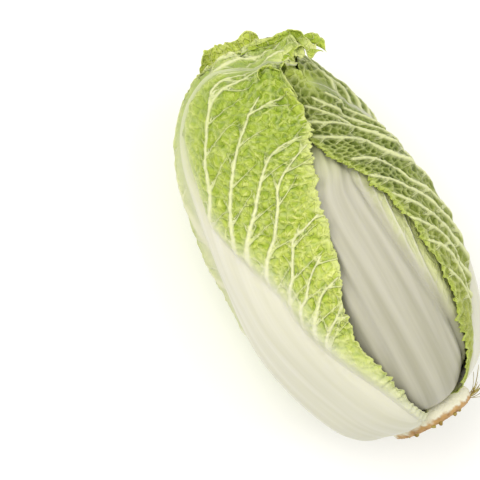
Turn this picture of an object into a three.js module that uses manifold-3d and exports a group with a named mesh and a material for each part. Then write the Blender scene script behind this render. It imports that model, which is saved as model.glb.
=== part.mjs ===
// A head of napa cabbage lying on its side: a cut stem, a dense heart and eight wrapper leaves.
// Millimetres, +Z up. +X runs along the head from the cut stem to the leaf tips.
// The origin is on the surface the head rests on, under the middle of its bounding box.
//
// Every leaf is laid over the ones inside it. A place on the head is given by "rise", 0 at the
// middle of the cut stem and 1 at the crown where the leaf tips meet, and by "turn", the angle
// round the head. A leaf's height over the head's nominal surface is measured outwards from its
// spine, a stretch of the head's axis.

import * as THREE from 'three';
import { mergeVertices } from 'three/addons/utils/BufferGeometryUtils.js';
import Module from 'manifold-3d';

// ---------------------------------------------------------------- the head's form

// Half of the head's outline: [distance along the axis, radius].
const OUTLINE = [
  [9, 0], [10, 24], [6, 36], [7, 46], [14, 56], [30, 67], [60, 77], [90, 82], [120, 83.5],
  [150, 82], [180, 78.5], [208, 74], [230, 69], [248, 61.5], [264, 52], [278, 40], [289, 26],
  [295, 12], [297, 0],
];
const OUTLINE_STEPS = 480;
const FLATTENING = 0.95; // the head's height over its width
const CROWN_LEAN = 38; // degrees that the crown leans away from the axis
const CROWN_TURN = 43; // degrees, the side that it leans to
const LEAN_STARTS = 0.45; // the rise at which the lean begins
const TOP_TURN = 12; // degrees, the turn that faces straight up as the head lies

const SPINE_FROM = 80; // the stretch of the axis that layers are stacked out from
const SPINE_TO = 212;

const AXIS_HEIGHT = 68.6; // from the resting surface to the head's axis
const MID_LENGTH = 150; // from the cut stem's plane to the origin, along X
const MID_WIDTH = 3.6; // from the head's axis to the origin, along Y

// The underside gives under the head's weight, and its lowest part is a flat resting patch.
const GIVE_BELOW = 24;
const GIVE_RATIO = 0.8;
const REST_FLAT = 0.6; // what would be lower than this lies flat on the surface

// ---------------------------------------------------------------- the layers

// How deep under the nominal surface the heart lies: [rise, depth].
const HEART_DEPTH = [
  [0, 30], [0.1, 28], [0.2, 26], [0.3, 23.5], [0.5, 17], [0.7, 15.5], [0.85, 22.5], [1, 26],
];
const LAYER_ROWS = 200; // the grid on which the laid layers' height is kept
const LAYER_COLUMNS = 360;
const PATCH_SAMPLES = 10; // places looked at each way across one face of a leaf
const TRIANGLE_SLACK = 0.35; // how far past its edges a laid face counts, as a share of it
const BEND_GAP = 0.9; // more room between leaves where the head bends sharply, near its ends
const CROWN_BEND = [0.66, 0.9]; // the rises over which that room grows
const STEM_BEND = [0.1, 0.3]; // the rises over which it falls
const BLADE_THICK = 1.2;
const VEIN_HEIGHT = 2; // a side vein at the rib; it falls towards the margin
const VEIN_END = 0.45; // the share of that height left at the margin
const NET_HEIGHT = 0.9; // the net of small veins between two side veins
const LEAF_START = 0.07; // the rise at which leaves leave the stem

// Rib thickness of an outer leaf: [rise, thickness].
const RIB_THICK = [[0.07, 10], [0.15, 10.5], [0.3, 9], [0.45, 7], [0.6, 5], [0.75, 3.4], [0.95, 1.8]];
const RIB_ROUNDNESS = 0.6;

// How many rows a leaf's grid has, and columns from its middle out.
// gap is how far a leaf is from what it lies on: more on a coarse grid, whose faces sag more.
const SHOWN_GRID = { rows: 28, ribColumns: 3, bladeColumns: 6, gap: 0.8 };
const OUTER_GRID = { rows: 22, ribColumns: 3, bladeColumns: 6, gap: 1.3 };
const INNER_GRID = { rows: 15, ribColumns: 2, bladeColumns: 5, gap: 1.7 };

// Leaves from the innermost to the outermost. rib, half, left and right are [rise, degrees].
// rib is the turn of the rib's middle, half its half width, left and right the two margins.
// tip is the rise of the leaf's end, fall how much lower its end is at the left and right margins.
const OUTER_HALF = [
  [0.07, 42], [0.15, 42], [0.22, 37], [0.32, 30], [0.42, 24], [0.52, 18], [0.62, 13], [0.72, 9],
  [0.82, 6], [0.95, 3],
];
const INNER_HALF = [[0.07, 34], [0.2, 27], [0.35, 20], [0.5, 14], [0.7, 8], [0.95, 3]];
const LEAVES = [
  {
    name: 'leaf_8_inner_front', color: 0xdfe3a0, ribShare: 0.5, grid: INNER_GRID,
    rib: [[0, -28], [1, -28]], half: INNER_HALF,
    left: [[0.07, -66], [0.3, -88], [0.6, -98], [0.9, -95]],
    right: [[0.07, 10], [0.3, 32], [0.6, 42], [0.9, 40]],
    tip: 0.9, fall: [0.05, 0.05],
  },
  {
    name: 'leaf_7_inner_right', color: 0xdfe3a0, ribShare: 0.5, grid: INNER_GRID,
    rib: [[0, 50], [1, 50]], half: INNER_HALF,
    left: [[0.07, 12], [0.3, -8], [0.6, -18], [0.9, -15]],
    right: [[0.07, 88], [0.3, 110], [0.6, 120], [0.9, 118]],
    tip: 0.91, fall: [0.05, 0.05],
  },
  {
    name: 'leaf_6_inner_left', color: 0xd6dd90, ribShare: 0.5, grid: INNER_GRID,
    rib: [[0, -112], [1, -112]], half: INNER_HALF,
    left: [[0.07, -150], [0.3, -172], [0.6, -182], [0.9, -180]],
    right: [[0.07, -74], [0.3, -52], [0.6, -42], [0.9, -44]],
    tip: 0.92, fall: [0.05, 0.05],
  },
  {
    name: 'leaf_5_back_right', color: 0xaec765, ribShare: 0.85, grid: OUTER_GRID,
    rib: [[0, 145], [1, 145]], half: OUTER_HALF,
    left: [[0.07, 100], [0.3, 84], [0.5, 72], [0.7, 70], [0.9, 76]],
    right: [[0.07, 190], [0.3, 206], [0.5, 218], [0.7, 220], [0.9, 214]],
    tip: 0.92, fall: [0.06, 0.06],
  },
  {
    name: 'leaf_4_front', color: 0xb9cf72, ribShare: 0.95, grid: SHOWN_GRID,
    rib: [[0, 8], [0.6, 8], [0.7, 12], [0.85, 10], [1, 10]],
    half: [
      [0.07, 27], [0.15, 29], [0.25, 27], [0.35, 24], [0.5, 20], [0.6, 19], [0.7, 12], [0.8, 7],
      [0.95, 3],
    ],
    left: [[0.07, -26], [0.2, -36], [0.3, -45], [0.5, -58], [0.7, -60], [0.9, -50]],
    right: [[0.07, 42], [0.2, 52], [0.3, 60], [0.5, 70], [0.7, 72], [0.9, 62]],
    tip: 0.92, fall: [0.06, 0.06],
  },
  {
    name: 'leaf_3_under', color: 0x9dbb55, ribShare: 1, grid: OUTER_GRID, tipFlare: 4,
    rib: [[0, -165], [1, -165]], half: OUTER_HALF,
    left: [[0.07, -214], [0.2, -222], [0.3, -232], [0.5, -240], [0.7, -242], [0.9, -236]],
    right: [[0.07, -116], [0.2, -106], [0.3, -96], [0.5, -88], [0.7, -86], [0.9, -96]],
    tip: 0.905, fall: [0.06, 0.05],
  },
  {
    name: 'leaf_2_right', color: 0x93ae57, ribShare: 1, grid: SHOWN_GRID,
    rib: [[0, 92], [0.5, 94], [0.7, 96], [0.8, 100], [1, 106]],
    half: [
      [0.07, 46], [0.15, 45], [0.22, 38], [0.32, 30], [0.42, 23], [0.52, 17], [0.62, 13], [0.72, 9],
      [0.82, 6], [0.95, 3],
    ],
    left: [
      [0.07, 30], [0.17, 36], [0.24, 41], [0.31, 41], [0.38, 37], [0.48, 34], [0.55, 30],
      [0.62, 27.5], [0.68, 25], [0.73, 18], [0.8, 5], [0.86, -10], [0.95, -26],
    ],
    right: [[0.07, 148], [0.2, 158], [0.4, 164], [0.6, 168], [0.8, 172], [0.95, 176]],
    tip: 0.955, fall: [0.02, 0.03],
  },
  {
    name: 'leaf_1_left', color: 0xa9c75a, ribShare: 1, grid: SHOWN_GRID, tipFlare: 6, hood: true,
    rib: [[0, -60], [0.3, -65], [0.5, -68], [0.6, -70], [0.7, -76], [0.85, -80], [1, -82]],
    half: [
      [0.07, 52], [0.15, 50], [0.22, 43], [0.3, 36], [0.4, 33], [0.5, 29], [0.6, 21], [0.7, 11],
      [0.8, 6.5], [0.95, 3.5],
    ],
    left: [
      [0.07, -116], [0.2, -120], [0.4, -126], [0.6, -130], [0.78, -133], [0.86, -142],
      [0.92, -172], [0.97, -196],
    ],
    right: [
      [0.07, 0], [0.2, -7], [0.27, -10], [0.34, -12], [0.4, -9.5], [0.45, -4], [0.5, 0],
      [0.55, 3.6], [0.6, 3], [0.67, 4.5], [0.76, 4], [0.85, -2.5], [0.9, -13], [0.95, -34],
    ],
    tip: 0.955, fall: [0.005, 0.01],
  },
];

const VEIN_SWEEP = 0.2; // how far a side vein climbs between the rib and the margin
const FIRST_ROWS = 1.25; // above 1, rows lie closer near the stem
const SCALLOP = 2.2; // degrees of turn that the margin swings in and out
const RUFFLE = 1.6; // millimetres that the margin swings up and down
const HOOD_RUFFLE = 3.2; // the same at the outermost leaf's free end
const FLARE_STARTS = 0.8; // the rise from which a leaf's tip stands off the head

// ---------------------------------------------------------------- the stem and the heart

// The stem narrows inwards along a line to the start of the spine, clear of every leaf.
const STEM_RINGS = [0, 1.2, 4, 10, 18, 26, 34]; // distances from its cut
const STEM_CUT_RINGS = [0.3, 0.6, 0.85]; // shares of the cut's radius
const STEM_SLOPE = 24 / 70;
const STEM_GAP = 0.6;
const STEM_BEVEL = 1.2;
const STEM_COLUMNS = 28;
const CUT_ROUGHNESS = 1.1; // millimetres that the cut's face varies by
const STUBS = 8; // cut roots round the stem's end
const STUB = { length: 3.2, radius: 2.6, sides: 5 };
const THREADS = { count: 4, turn: 88, spread: 26, radius: 0.8, length: 22, sides: 5, steps: 7 };
const HEART_ROWS = 22;
const HEART_COLUMNS = 30;
const HEART_FOLDS = 5;
const HEART_FOLD_HEIGHT = 2.2;
const HEART_TWIST = 1.6; // turns of a fold between the two ends
const HEART_BULGE = { height: 4.5, turn: -95, from: 0.45, to: 0.7 }; // its upper part leans to a side

// ---------------------------------------------------------------- helpers

const radians = THREE.MathUtils.degToRad;
const { lerp, smoothstep } = THREE.MathUtils;
const clamp = THREE.MathUtils.clamp;

/** A smooth line through [x, y] points, held level past its two ends. */
function track(points) {
  const slope = points.map((p, i) => {
    const a = points[Math.max(i - 1, 0)];
    const b = points[Math.min(i + 1, points.length - 1)];
    return (b[1] - a[1]) / (b[0] - a[0]);
  });
  return (x) => {
    if (x <= points[0][0]) return points[0][1];
    let i = 1;
    while (i < points.length - 1 && x > points[i][0]) i += 1;
    const [x0, y0] = points[i - 1];
    const [x1, y1] = points[i];
    const w = x1 - x0;
    const t = Math.min((x - x0) / w, 1);
    const t2 = t * t;
    const t3 = t2 * t;
    return (2 * t3 - 3 * t2 + 1) * y0 + (t3 - 2 * t2 + t) * w * slope[i - 1]
      + (3 * t2 - 2 * t3) * y1 + (t3 - t2) * w * slope[i];
  };
}

const outline = new THREE.SplineCurve(OUTLINE.map(([x, r]) => new THREE.Vector2(x, r)));
outline.arcLengthDivisions = OUTLINE_STEPS * 2;
const outlinePoints = outline.getSpacedPoints(OUTLINE_STEPS);
const heartDepth = track(HEART_DEPTH);
const ribThickness = track(RIB_THICK);

/** The outline's point at a share of its length. */
function outlineAt(share) {
  const place = clamp(share, 0, 1) * OUTLINE_STEPS;
  const i = Math.min(Math.floor(place), OUTLINE_STEPS - 1);
  return outlinePoints[i].clone().lerp(outlinePoints[i + 1], place - i);
}

const leanSide = new THREE.Vector3(0, Math.sin(radians(CROWN_TURN)), Math.cos(radians(CROWN_TURN)));
const leanAxis = new THREE.Vector3(1, 0, 0).cross(leanSide).normalize();

/** The nominal surface at a rise and a turn in degrees, with X from the cut stem's plane. */
function nominal(rise, turn) {
  const polar = Math.PI * rise;
  const way = new THREE.Vector3(
    -Math.cos(polar), Math.sin(polar) * Math.sin(radians(turn)), Math.sin(polar) * Math.cos(radians(turn)),
  );
  way.applyAxisAngle(leanAxis, radians(CROWN_LEAN) * smoothstep(rise, LEAN_STARTS, 1));
  const { x, y: radius } = outlineAt(Math.acos(clamp(-way.x, -1, 1)) / Math.PI);
  const around = Math.atan2(way.y, way.z) - radians(TOP_TURN);
  return new THREE.Vector3(x, -radius * Math.sin(around), FLATTENING * radius * Math.cos(around));
}

/**
 * The point at a height over the nominal surface, in the part's frame. Height runs along a line
 * from the head's spine, so two layers never cross. An outer face lies flat where it rests.
 */
function pointAt(rise, turn, height, isOuter = false) {
  const p = nominal(rise, turn);
  const spine = new THREE.Vector3(clamp(p.x, SPINE_FROM, SPINE_TO), 0, 0);
  p.addScaledVector(p.clone().sub(spine).normalize(), height);
  const up = p.z + AXIS_HEIGHT;
  const pressed = up < GIVE_BELOW ? GIVE_BELOW - (GIVE_BELOW - up) * GIVE_RATIO : up;
  const rests = isOuter && pressed < REST_FLAT;
  return new THREE.Vector3(p.x - MID_LENGTH, p.y - MID_WIDTH, rests ? 0 : pressed);
}

/** The height of what has been laid so far, over every rise and turn. */
class Layers {
  constructor() {
    this.rows = LAYER_ROWS;
    this.columns = LAYER_COLUMNS;
    this.height = new Float64Array((this.rows + 1) * this.columns);
    for (let i = 0; i <= this.rows; i += 1) {
      this.height.fill(-2 * heartDepth(i / this.rows), i * this.columns, (i + 1) * this.columns);
    }
  }

  index(i, j) {
    return clamp(i, 0, this.rows) * this.columns + (((j % this.columns) + this.columns) % this.columns);
  }

  /** The greatest height within a quadrilateral patch, given as its four [rise, turn] corners. */
  highest(corners) {
    const steps = PATCH_SAMPLES;
    let most = -Infinity;
    for (let a = 0; a <= steps; a += 1) {
      for (let b = 0; b <= steps; b += 1) {
        const [s, t] = [a / steps, b / steps];
        const place = [0, 1].map((k) => lerp(
          lerp(corners[0][k], corners[1][k], s), lerp(corners[3][k], corners[2][k], s), t,
        ));
        const i = Math.round(place[0] * this.rows);
        const j = Math.round(place[1] * this.columns / 360);
        most = Math.max(most, this.height[this.index(i, j)]);
      }
    }
    return most;
  }

  /** Raises the layers to a triangle with corners [rise, turn, height]. */
  cover(a, b, c) {
    const scale = ([rise, turn, height]) => [rise * this.rows, turn * this.columns / 360, height];
    const [p, q, r] = [scale(a), scale(b), scale(c)];
    const area = (q[0] - p[0]) * (r[1] - p[1]) - (q[1] - p[1]) * (r[0] - p[0]);
    if (Math.abs(area) < 1e-9) return;
    const span = (k) => [Math.floor(Math.min(p[k], q[k], r[k])), Math.ceil(Math.max(p[k], q[k], r[k]))];
    const [i0, i1] = span(0);
    const [j0, j1] = span(1);
    for (let i = i0; i <= i1; i += 1) {
      for (let j = j0; j <= j1; j += 1) {
        const u = ((i - p[0]) * (r[1] - p[1]) - (j - p[1]) * (r[0] - p[0])) / area;
        const w = ((q[0] - p[0]) * (j - p[1]) - (q[1] - p[1]) * (i - p[0])) / area;
        if (Math.min(u, w, 1 - u - w) >= -TRIANGLE_SLACK) {
          const s = clamp(u, 0, 1);
          const t = clamp(w, 0, 1 - s);
          const height = p[2] + s * (q[2] - p[2]) + t * (r[2] - p[2]);
          const k = this.index(i, j);
          this.height[k] = Math.max(this.height[k], height);
        }
      }
    }
  }
}

/** A closed mesh from a grid of inner and outer points, joined round its rim. */
function sheetGeometry(outer, inner) {
  const [rows, columns] = [outer.length, outer[0].length];
  const position = [];
  for (const grid of [outer, inner]) {
    for (const row of grid) for (const p of row) position.push(p.x, p.y, p.z);
  }
  const out = (i, j) => i * columns + j;
  const inn = (i, j) => rows * columns + out(i, j);
  const index = [];
  for (let i = 0; i + 1 < rows; i += 1) {
    for (let j = 0; j + 1 < columns; j += 1) {
      index.push(out(i, j), out(i, j + 1), out(i + 1, j + 1), out(i, j), out(i + 1, j + 1), out(i + 1, j));
      index.push(inn(i, j), inn(i + 1, j + 1), inn(i, j + 1), inn(i, j), inn(i + 1, j), inn(i + 1, j + 1));
    }
  }
  const rim = [];
  for (let j = 0; j + 1 < columns; j += 1) rim.push([0, j]);
  for (let i = 0; i + 1 < rows; i += 1) rim.push([i, columns - 1]);
  for (let j = columns - 1; j > 0; j -= 1) rim.push([rows - 1, j]);
  for (let i = rows - 1; i > 0; i -= 1) rim.push([i, 0]);
  rim.forEach(([i, j], k) => {
    const [m, n] = rim[(k + 1) % rim.length];
    index.push(out(m, n), out(i, j), inn(i, j), out(m, n), inn(i, j), inn(m, n));
  });
  const geometry = new THREE.BufferGeometry();
  geometry.setAttribute('position', new THREE.Float32BufferAttribute(position, 3));
  geometry.setIndex(index);
  return geometry;
}

// ---------------------------------------------------------------- the leaves

/** How far the veins stand up at a grid point: a side vein on every second row, a net between. */
function veinHeight(leaf, row, column, across) {
  if (leaf.grid === INNER_GRID || row === 0 || across === 0 || across === 1) return 0;
  if (row % 2 === 0) return VEIN_HEIGHT * lerp(1, VEIN_END, across);
  return (Math.abs(column) + (row - 1) / 2) % 2 ? 0 : NET_HEIGHT;
}

/** The rise, turn and thickness of each point of a leaf's grid. */
function leafGrid(leaf) {
  const { grid } = leaf;
  const rib = track(leaf.rib);
  const half = track(leaf.half);
  const margins = { '-1': track(leaf.left), 1: track(leaf.right) };
  const last = grid.ribColumns + grid.bladeColumns;
  const points = [];
  for (let i = 0; i <= grid.rows; i += 1) {
    const row = [];
    for (let c = -last; c <= last; c += 1) {
      const side = c < 0 ? -1 : 1;
      const acrossRib = Math.min(Math.abs(c) / grid.ribColumns, 1);
      const across = Math.max(Math.abs(c) - grid.ribColumns, 0) / grid.bladeColumns;
      const share = (i / grid.rows) ** FIRST_ROWS;
      const swept = share + VEIN_SWEEP * across * Math.sin(Math.PI * share);
      const end = leaf.tip - leaf.fall[side < 0 ? 0 : 1] * (Math.abs(c) / last) ** 2.5;
      const rise = lerp(LEAF_START, end, swept);
      const edge = rib(rise) + side * half(rise) * acrossRib;
      const bare = Math.sin(Math.PI * clamp(rise, 0.15, 0.85));
      const swing = (i % 2 ? 1 : -1) * SCALLOP * bare * (across === 1 && i > 0 ? 1 : 0);
      const turn = lerp(edge, margins[side](rise), across) + side * swing;
      const crown = (1 - acrossRib ** 2) ** RIB_ROUNDNESS;
      const ribHeight = (leaf.ribShare * ribThickness(rise) - BLADE_THICK) * crown;
      row.push({ rise, turn, across, thickness: BLADE_THICK + ribHeight + veinHeight(leaf, i, c, across) });
    }
    points.push(row);
  }
  return points;
}

/** Lays a leaf over the layers, and returns its closed geometry. */
function layLeaf(leaf, layers) {
  const grid = leafGrid(leaf);
  const place = (i, j) => [grid[i][j].rise, grid[i][j].turn];
  const [rows, columns] = [grid.length, grid[0].length];
  const cell = [];
  for (let i = 0; i + 1 < rows; i += 1) {
    cell.push([]);
    for (let j = 0; j + 1 < columns; j += 1) {
      cell[i].push(layers.highest([place(i, j), place(i, j + 1), place(i + 1, j + 1), place(i + 1, j)]));
    }
  }
  const under = grid.map((row, i) => row.map((p, j) => {
    let most = -Infinity;
    for (const m of [i - 1, i]) {
      for (const n of [j - 1, j]) {
        if (cell[m] && cell[m][n] !== undefined) most = Math.max(most, cell[m][n]);
      }
    }
    const bend = Math.max(smoothstep(p.rise, ...CROWN_BEND), 1 - smoothstep(p.rise, ...STEM_BEND));
    return most + leaf.grid.gap + BEND_GAP * bend;
  }));
  grid.forEach((row, i) => row.forEach((p, j) => {
    if (p.across === 1) {
      under[i][j] += (i % 2 ? 1 : 0) * (leaf.hood && p.rise > FLARE_STARTS ? HOOD_RUFFLE : RUFFLE);
    }
    if (leaf.tipFlare) under[i][j] += leaf.tipFlare * smoothstep(p.rise, FLARE_STARTS, leaf.tip);
    if (i === rows - 1) under[i][j] += (j % 2 ? 1 : 0) * (leaf.hood ? HOOD_RUFFLE : RUFFLE);
  }));
  const over = grid.map((row, i) => row.map((p, j) => under[i][j] + p.thickness));
  for (let i = 0; i + 1 < rows; i += 1) {
    for (let j = 0; j + 1 < columns; j += 1) {
      const corner = (m, n) => [...place(m, n), over[m][n]];
      layers.cover(corner(i, j), corner(i, j + 1), corner(i + 1, j + 1));
      layers.cover(corner(i, j), corner(i + 1, j + 1), corner(i + 1, j));
    }
  }
  const points = (heights, isOuter) => grid.map(
    (row, i) => row.map((p, j) => pointAt(p.rise, p.turn, heights[i][j], isOuter)),
  );
  return sheetGeometry(points(over, true), points(under, false));
}

// ---------------------------------------------------------------- the stem and the heart

/** A closed mesh from rings of points between two end points. */
function ringsGeometry(first, rings, last) {
  const columns = rings[0].length;
  const position = [first, ...rings.flat(), last].flatMap((p) => [p.x, p.y, p.z]);
  const at = (i, j) => 1 + i * columns + (j % columns);
  const end = position.length / 3 - 1;
  const index = [];
  for (let j = 0; j < columns; j += 1) {
    index.push(0, at(0, j + 1), at(0, j));
    for (let i = 0; i + 1 < rings.length; i += 1) {
      index.push(at(i, j), at(i, j + 1), at(i + 1, j + 1), at(i, j), at(i + 1, j + 1), at(i + 1, j));
    }
    index.push(end, at(rings.length - 1, j), at(rings.length - 1, j + 1));
  }
  const geometry = new THREE.BufferGeometry();
  geometry.setAttribute('position', new THREE.Float32BufferAttribute(position, 3));
  geometry.setIndex(index);
  return geometry;
}

/** The dense heart of small leaves, with their edges winding up it as folds. */
function heartGeometry(layers) {
  const heights = [];
  const places = [];
  for (let i = 0; i <= HEART_ROWS; i += 1) {
    places.push([]);
    heights.push([]);
    for (let j = 0; j < HEART_COLUMNS; j += 1) {
      const rise = i / HEART_ROWS;
      const turn = 360 * j / HEART_COLUMNS;
      const wind = HEART_FOLDS * (j / HEART_COLUMNS) + HEART_TWIST * rise;
      const fold = HEART_FOLD_HEIGHT * Math.sin(Math.PI * rise) * (wind - Math.floor(wind));
      places[i].push([rise, turn]);
      const bulge = smoothstep(rise, HEART_BULGE.from, HEART_BULGE.to) * Math.sin(Math.PI * rise)
        * HEART_BULGE.height * Math.cos(radians(turn - HEART_BULGE.turn));
      heights[i].push(bulge - heartDepth(rise) - fold);
    }
  }
  for (let i = 0; i < HEART_ROWS; i += 1) {
    for (let j = 0; j < HEART_COLUMNS; j += 1) {
      const corner = (m, n) => {
        const wrapped = n % HEART_COLUMNS;
        return [places[m][wrapped][0], 360 * n / HEART_COLUMNS, heights[m][wrapped]];
      };
      layers.cover(corner(i, j), corner(i, j + 1), corner(i + 1, j + 1));
      layers.cover(corner(i, j), corner(i + 1, j + 1), corner(i + 1, j));
    }
  }
  const points = places.map((row, i) => row.map(([rise, turn], j) => pointAt(rise, turn, heights[i][j])));
  return ringsGeometry(points[0][0], points.slice(1, -1), points[HEART_ROWS][0]);
}

/** A point from its distance behind the cut, its distance from the axis and its turn. */
function stemPoint(depth, radius, turn) {
  const around = radians(turn - TOP_TURN);
  const z = AXIS_HEIGHT + radius * Math.cos(around);
  return new THREE.Vector3(depth - MID_LENGTH, -radius * Math.sin(around) - MID_WIDTH, z);
}

/** The radius of the stem's cone at a distance behind its cut. */
const stemRadius = (depth) => STEM_SLOPE * (SPINE_FROM - depth) - STEM_GAP;

/** The stem: a cone with a rough cut face. */
function stemGeometry() {
  const random = mulberry(7);
  const ring = (place) => Array.from({ length: STEM_COLUMNS }, (_, j) => place(360 * j / STEM_COLUMNS));
  const rough = () => CUT_ROUGHNESS * random();
  const face = STEM_CUT_RINGS.map((share) => ring((turn) => stemPoint(rough(), share * stemRadius(0), turn)));
  const side = STEM_RINGS.map((depth, k) => ring((turn) => stemPoint(
    depth + (k === 0 ? rough() : 0), stemRadius(depth) - (k === 0 ? STEM_BEVEL * (0.5 + random()) : 0), turn,
  )));
  const last = STEM_RINGS[STEM_RINGS.length - 1];
  return ringsGeometry(stemPoint(0, 0, 0), [...face, ...side], stemPoint(last, 0, 0));
}

/** A round bar along a curve, thinner at its end. */
function barGeometry(curve, radius, sides, steps) {
  const frames = curve.computeFrenetFrames(steps);
  const rings = [];
  for (let i = 0; i <= steps; i += 1) {
    const size = radius * lerp(1, 0.6, i / steps);
    rings.push(Array.from({ length: sides }, (_, k) => {
      const a = 2 * Math.PI * k / sides;
      return curve.getPointAt(i / steps)
        .addScaledVector(frames.normals[i], size * Math.cos(a))
        .addScaledVector(frames.binormals[i], size * Math.sin(a));
    }));
  }
  return ringsGeometry(curve.getPointAt(0), rings, curve.getPointAt(1));
}

/** The cut roots round the stem's end, and the threads that hang from its edge. */
function stemExtras() {
  const random = mulberry(11);
  const extras = [];
  for (let k = 0; k < STUBS; k += 1) {
    const turn = 360 * (k + 0.6 * random()) / STUBS;
    const radius = stemRadius(2) - STUB.radius * 0.6;
    const from = stemPoint(4, radius - 2, turn);
    const to = stemPoint(4 - STUB.length * (0.9 + 0.5 * random()), radius + 1.2, turn + 6);
    extras.push(barGeometry(new THREE.LineCurve3(from, to), STUB.radius, STUB.sides, 2));
  }
  for (let k = 0; k < THREADS.count; k += 1) {
    const turn = THREADS.turn + THREADS.spread * (k / (THREADS.count - 1) - 0.5);
    const bend = random() - 0.5;
    const reach = THREADS.length * (0.6 + 0.4 * random());
    extras.push(barGeometry(new THREE.CatmullRomCurve3([
      stemPoint(5, stemRadius(5) - 2, turn),
      stemPoint(1.5, stemRadius(1) + 2, turn + 3 * bend),
      stemPoint(-1 - 2 * random(), stemRadius(1) + 0.5 * reach, turn + 14 * bend),
      stemPoint(-3 + 5 * random(), stemRadius(1) + reach, turn + 34 * bend),
    ]), THREADS.radius, THREADS.sides, THREADS.steps));
  }
  return extras;
}

/** A repeatable stream of numbers from 0 to 1. */
function mulberry(seed) {
  let state = seed;
  return () => {
    state = (state + 0x6d2b79f5) | 0;
    let t = Math.imul(state ^ (state >>> 15), 1 | state);
    t = (t + Math.imul(t ^ (t >>> 7), 61 | t)) ^ t;
    return ((t ^ (t >>> 14)) >>> 0) / 4294967296;
  };
}

// ---------------------------------------------------------------- joining

const wasm = await Module();
wasm.setup();

/** Joins closed meshes that reach into each other. */
function join(geometries) {
  const solids = geometries.map((geometry) => {
    const merged = mergeVertices(geometry, 1e-4);
    return new wasm.Manifold(new wasm.Mesh({
      numProp: 3,
      vertProperties: merged.getAttribute('position').array,
      triVerts: new Uint32Array(merged.index.array),
    }));
  });
  const mesh = solids.reduce((whole, solid) => whole.add(solid)).getMesh();
  const geometry = new THREE.BufferGeometry();
  geometry.setAttribute('position', new THREE.BufferAttribute(mesh.vertProperties, 3));
  geometry.setIndex(new THREE.BufferAttribute(mesh.triVerts, 1));
  return geometry;
}

// ---------------------------------------------------------------- assembly

const head = new THREE.Group();

function add(name, geometry, color, roughness) {
  const material = new THREE.MeshStandardMaterial({ color, roughness, metalness: 0 });
  const mesh = new THREE.Mesh(geometry, material);
  mesh.name = name;
  head.add(mesh);
}

const layers = new Layers();
add('stem', join([stemGeometry(), ...stemExtras()]), 0xcdb98f, 0.75);
add('heart', heartGeometry(layers), 0xe6e7b4, 0.5);
for (const leaf of LEAVES) add(leaf.name, layLeaf(leaf, layers), leaf.color, 0.5);

export default head;
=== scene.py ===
"""A head of napa cabbage lying on its side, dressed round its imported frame.

Each leaf is laid over the ones inside it. A place on the head is given by its rise, 0 at the
middle of the cut stem and 1 at the crown where the leaf tips meet, and its turn, the angle round
the head in degrees. Heights are millimetres over the head's nominal surface, measured outwards
from its spine. Leaves are shaped on one shared raster of rises and turns, and each mesh reads its
heights from it.
"""

from __future__ import annotations

import logging
import math
from dataclasses import dataclass, field
from enum import Enum
from functools import partial
from typing import Callable, Sequence

import bpy
import numpy as np
from mathutils import Matrix, Vector

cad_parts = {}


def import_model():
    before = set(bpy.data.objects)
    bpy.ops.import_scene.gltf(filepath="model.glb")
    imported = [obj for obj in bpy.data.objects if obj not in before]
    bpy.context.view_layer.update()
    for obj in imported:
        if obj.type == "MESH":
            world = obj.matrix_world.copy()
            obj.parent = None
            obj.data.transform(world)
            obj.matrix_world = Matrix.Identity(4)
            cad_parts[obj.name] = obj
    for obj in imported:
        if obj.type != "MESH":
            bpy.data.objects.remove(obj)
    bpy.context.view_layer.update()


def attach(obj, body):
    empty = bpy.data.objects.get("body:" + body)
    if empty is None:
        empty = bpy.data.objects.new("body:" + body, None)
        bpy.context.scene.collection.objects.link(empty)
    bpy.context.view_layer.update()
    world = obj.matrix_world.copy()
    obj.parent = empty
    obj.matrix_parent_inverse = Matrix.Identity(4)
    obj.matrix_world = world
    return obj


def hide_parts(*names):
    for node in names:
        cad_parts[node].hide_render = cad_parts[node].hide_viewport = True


LOG = logging.getLogger("napa_cabbage")
MM = 0.001
BODY = "root"
CROWN = (0.78, 0.86)  # the rises over which a leaf passes from the head's side to its crown
EMPTY = -90.0  # the height where nothing is laid yet, in millimetres
Array = np.ndarray
Piece = bpy.types.Object
Material = bpy.types.Material
Points = Sequence[tuple[float, float]]
Pattern = Callable[[Array, Array], Array]


# -------------------- numbers and noise


def smoothstep(x: Array, low: float, high: float) -> Array:
    """A soft step at each x, from 0 below low to 1 above high."""
    t = np.clip((x - low) / (high - low), 0, 1)
    return t * t * (3 - 2 * t)


def mix(a: Array, b: Array, share: Array) -> Array:
    """The value that lies a share of the way from a to b."""
    return a + (b - a) * share


@dataclass(frozen=True)
class Track:
    """A smooth line through points, held level past its two ends."""

    points: Points

    def __call__(self, x: Array) -> Array:
        """Reads the line.

        Args:
            x: The places to read it at.

        Returns:
            Its value at each of them.
        """
        px, py = np.array(self.points, float).T
        before = np.r_[0, np.arange(len(px) - 1)]
        after = np.r_[np.arange(1, len(px)), len(px) - 1]
        slope = (py[after] - py[before]) / (px[after] - px[before])
        x = np.clip(x, px[0], px[-1])
        i = np.clip(np.searchsorted(px, x, side="right"), 1, len(px) - 1)
        w = px[i] - px[i - 1]
        t = (x - px[i - 1]) / w
        t2, t3 = t * t, t * t * t
        rise = (2 * t3 - 3 * t2 + 1) * py[i - 1] + (3 * t2 - 2 * t3) * py[i]
        return rise + (t3 - 2 * t2 + t) * w * slope[i - 1] + (t3 - t2) * w * slope[i]


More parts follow.
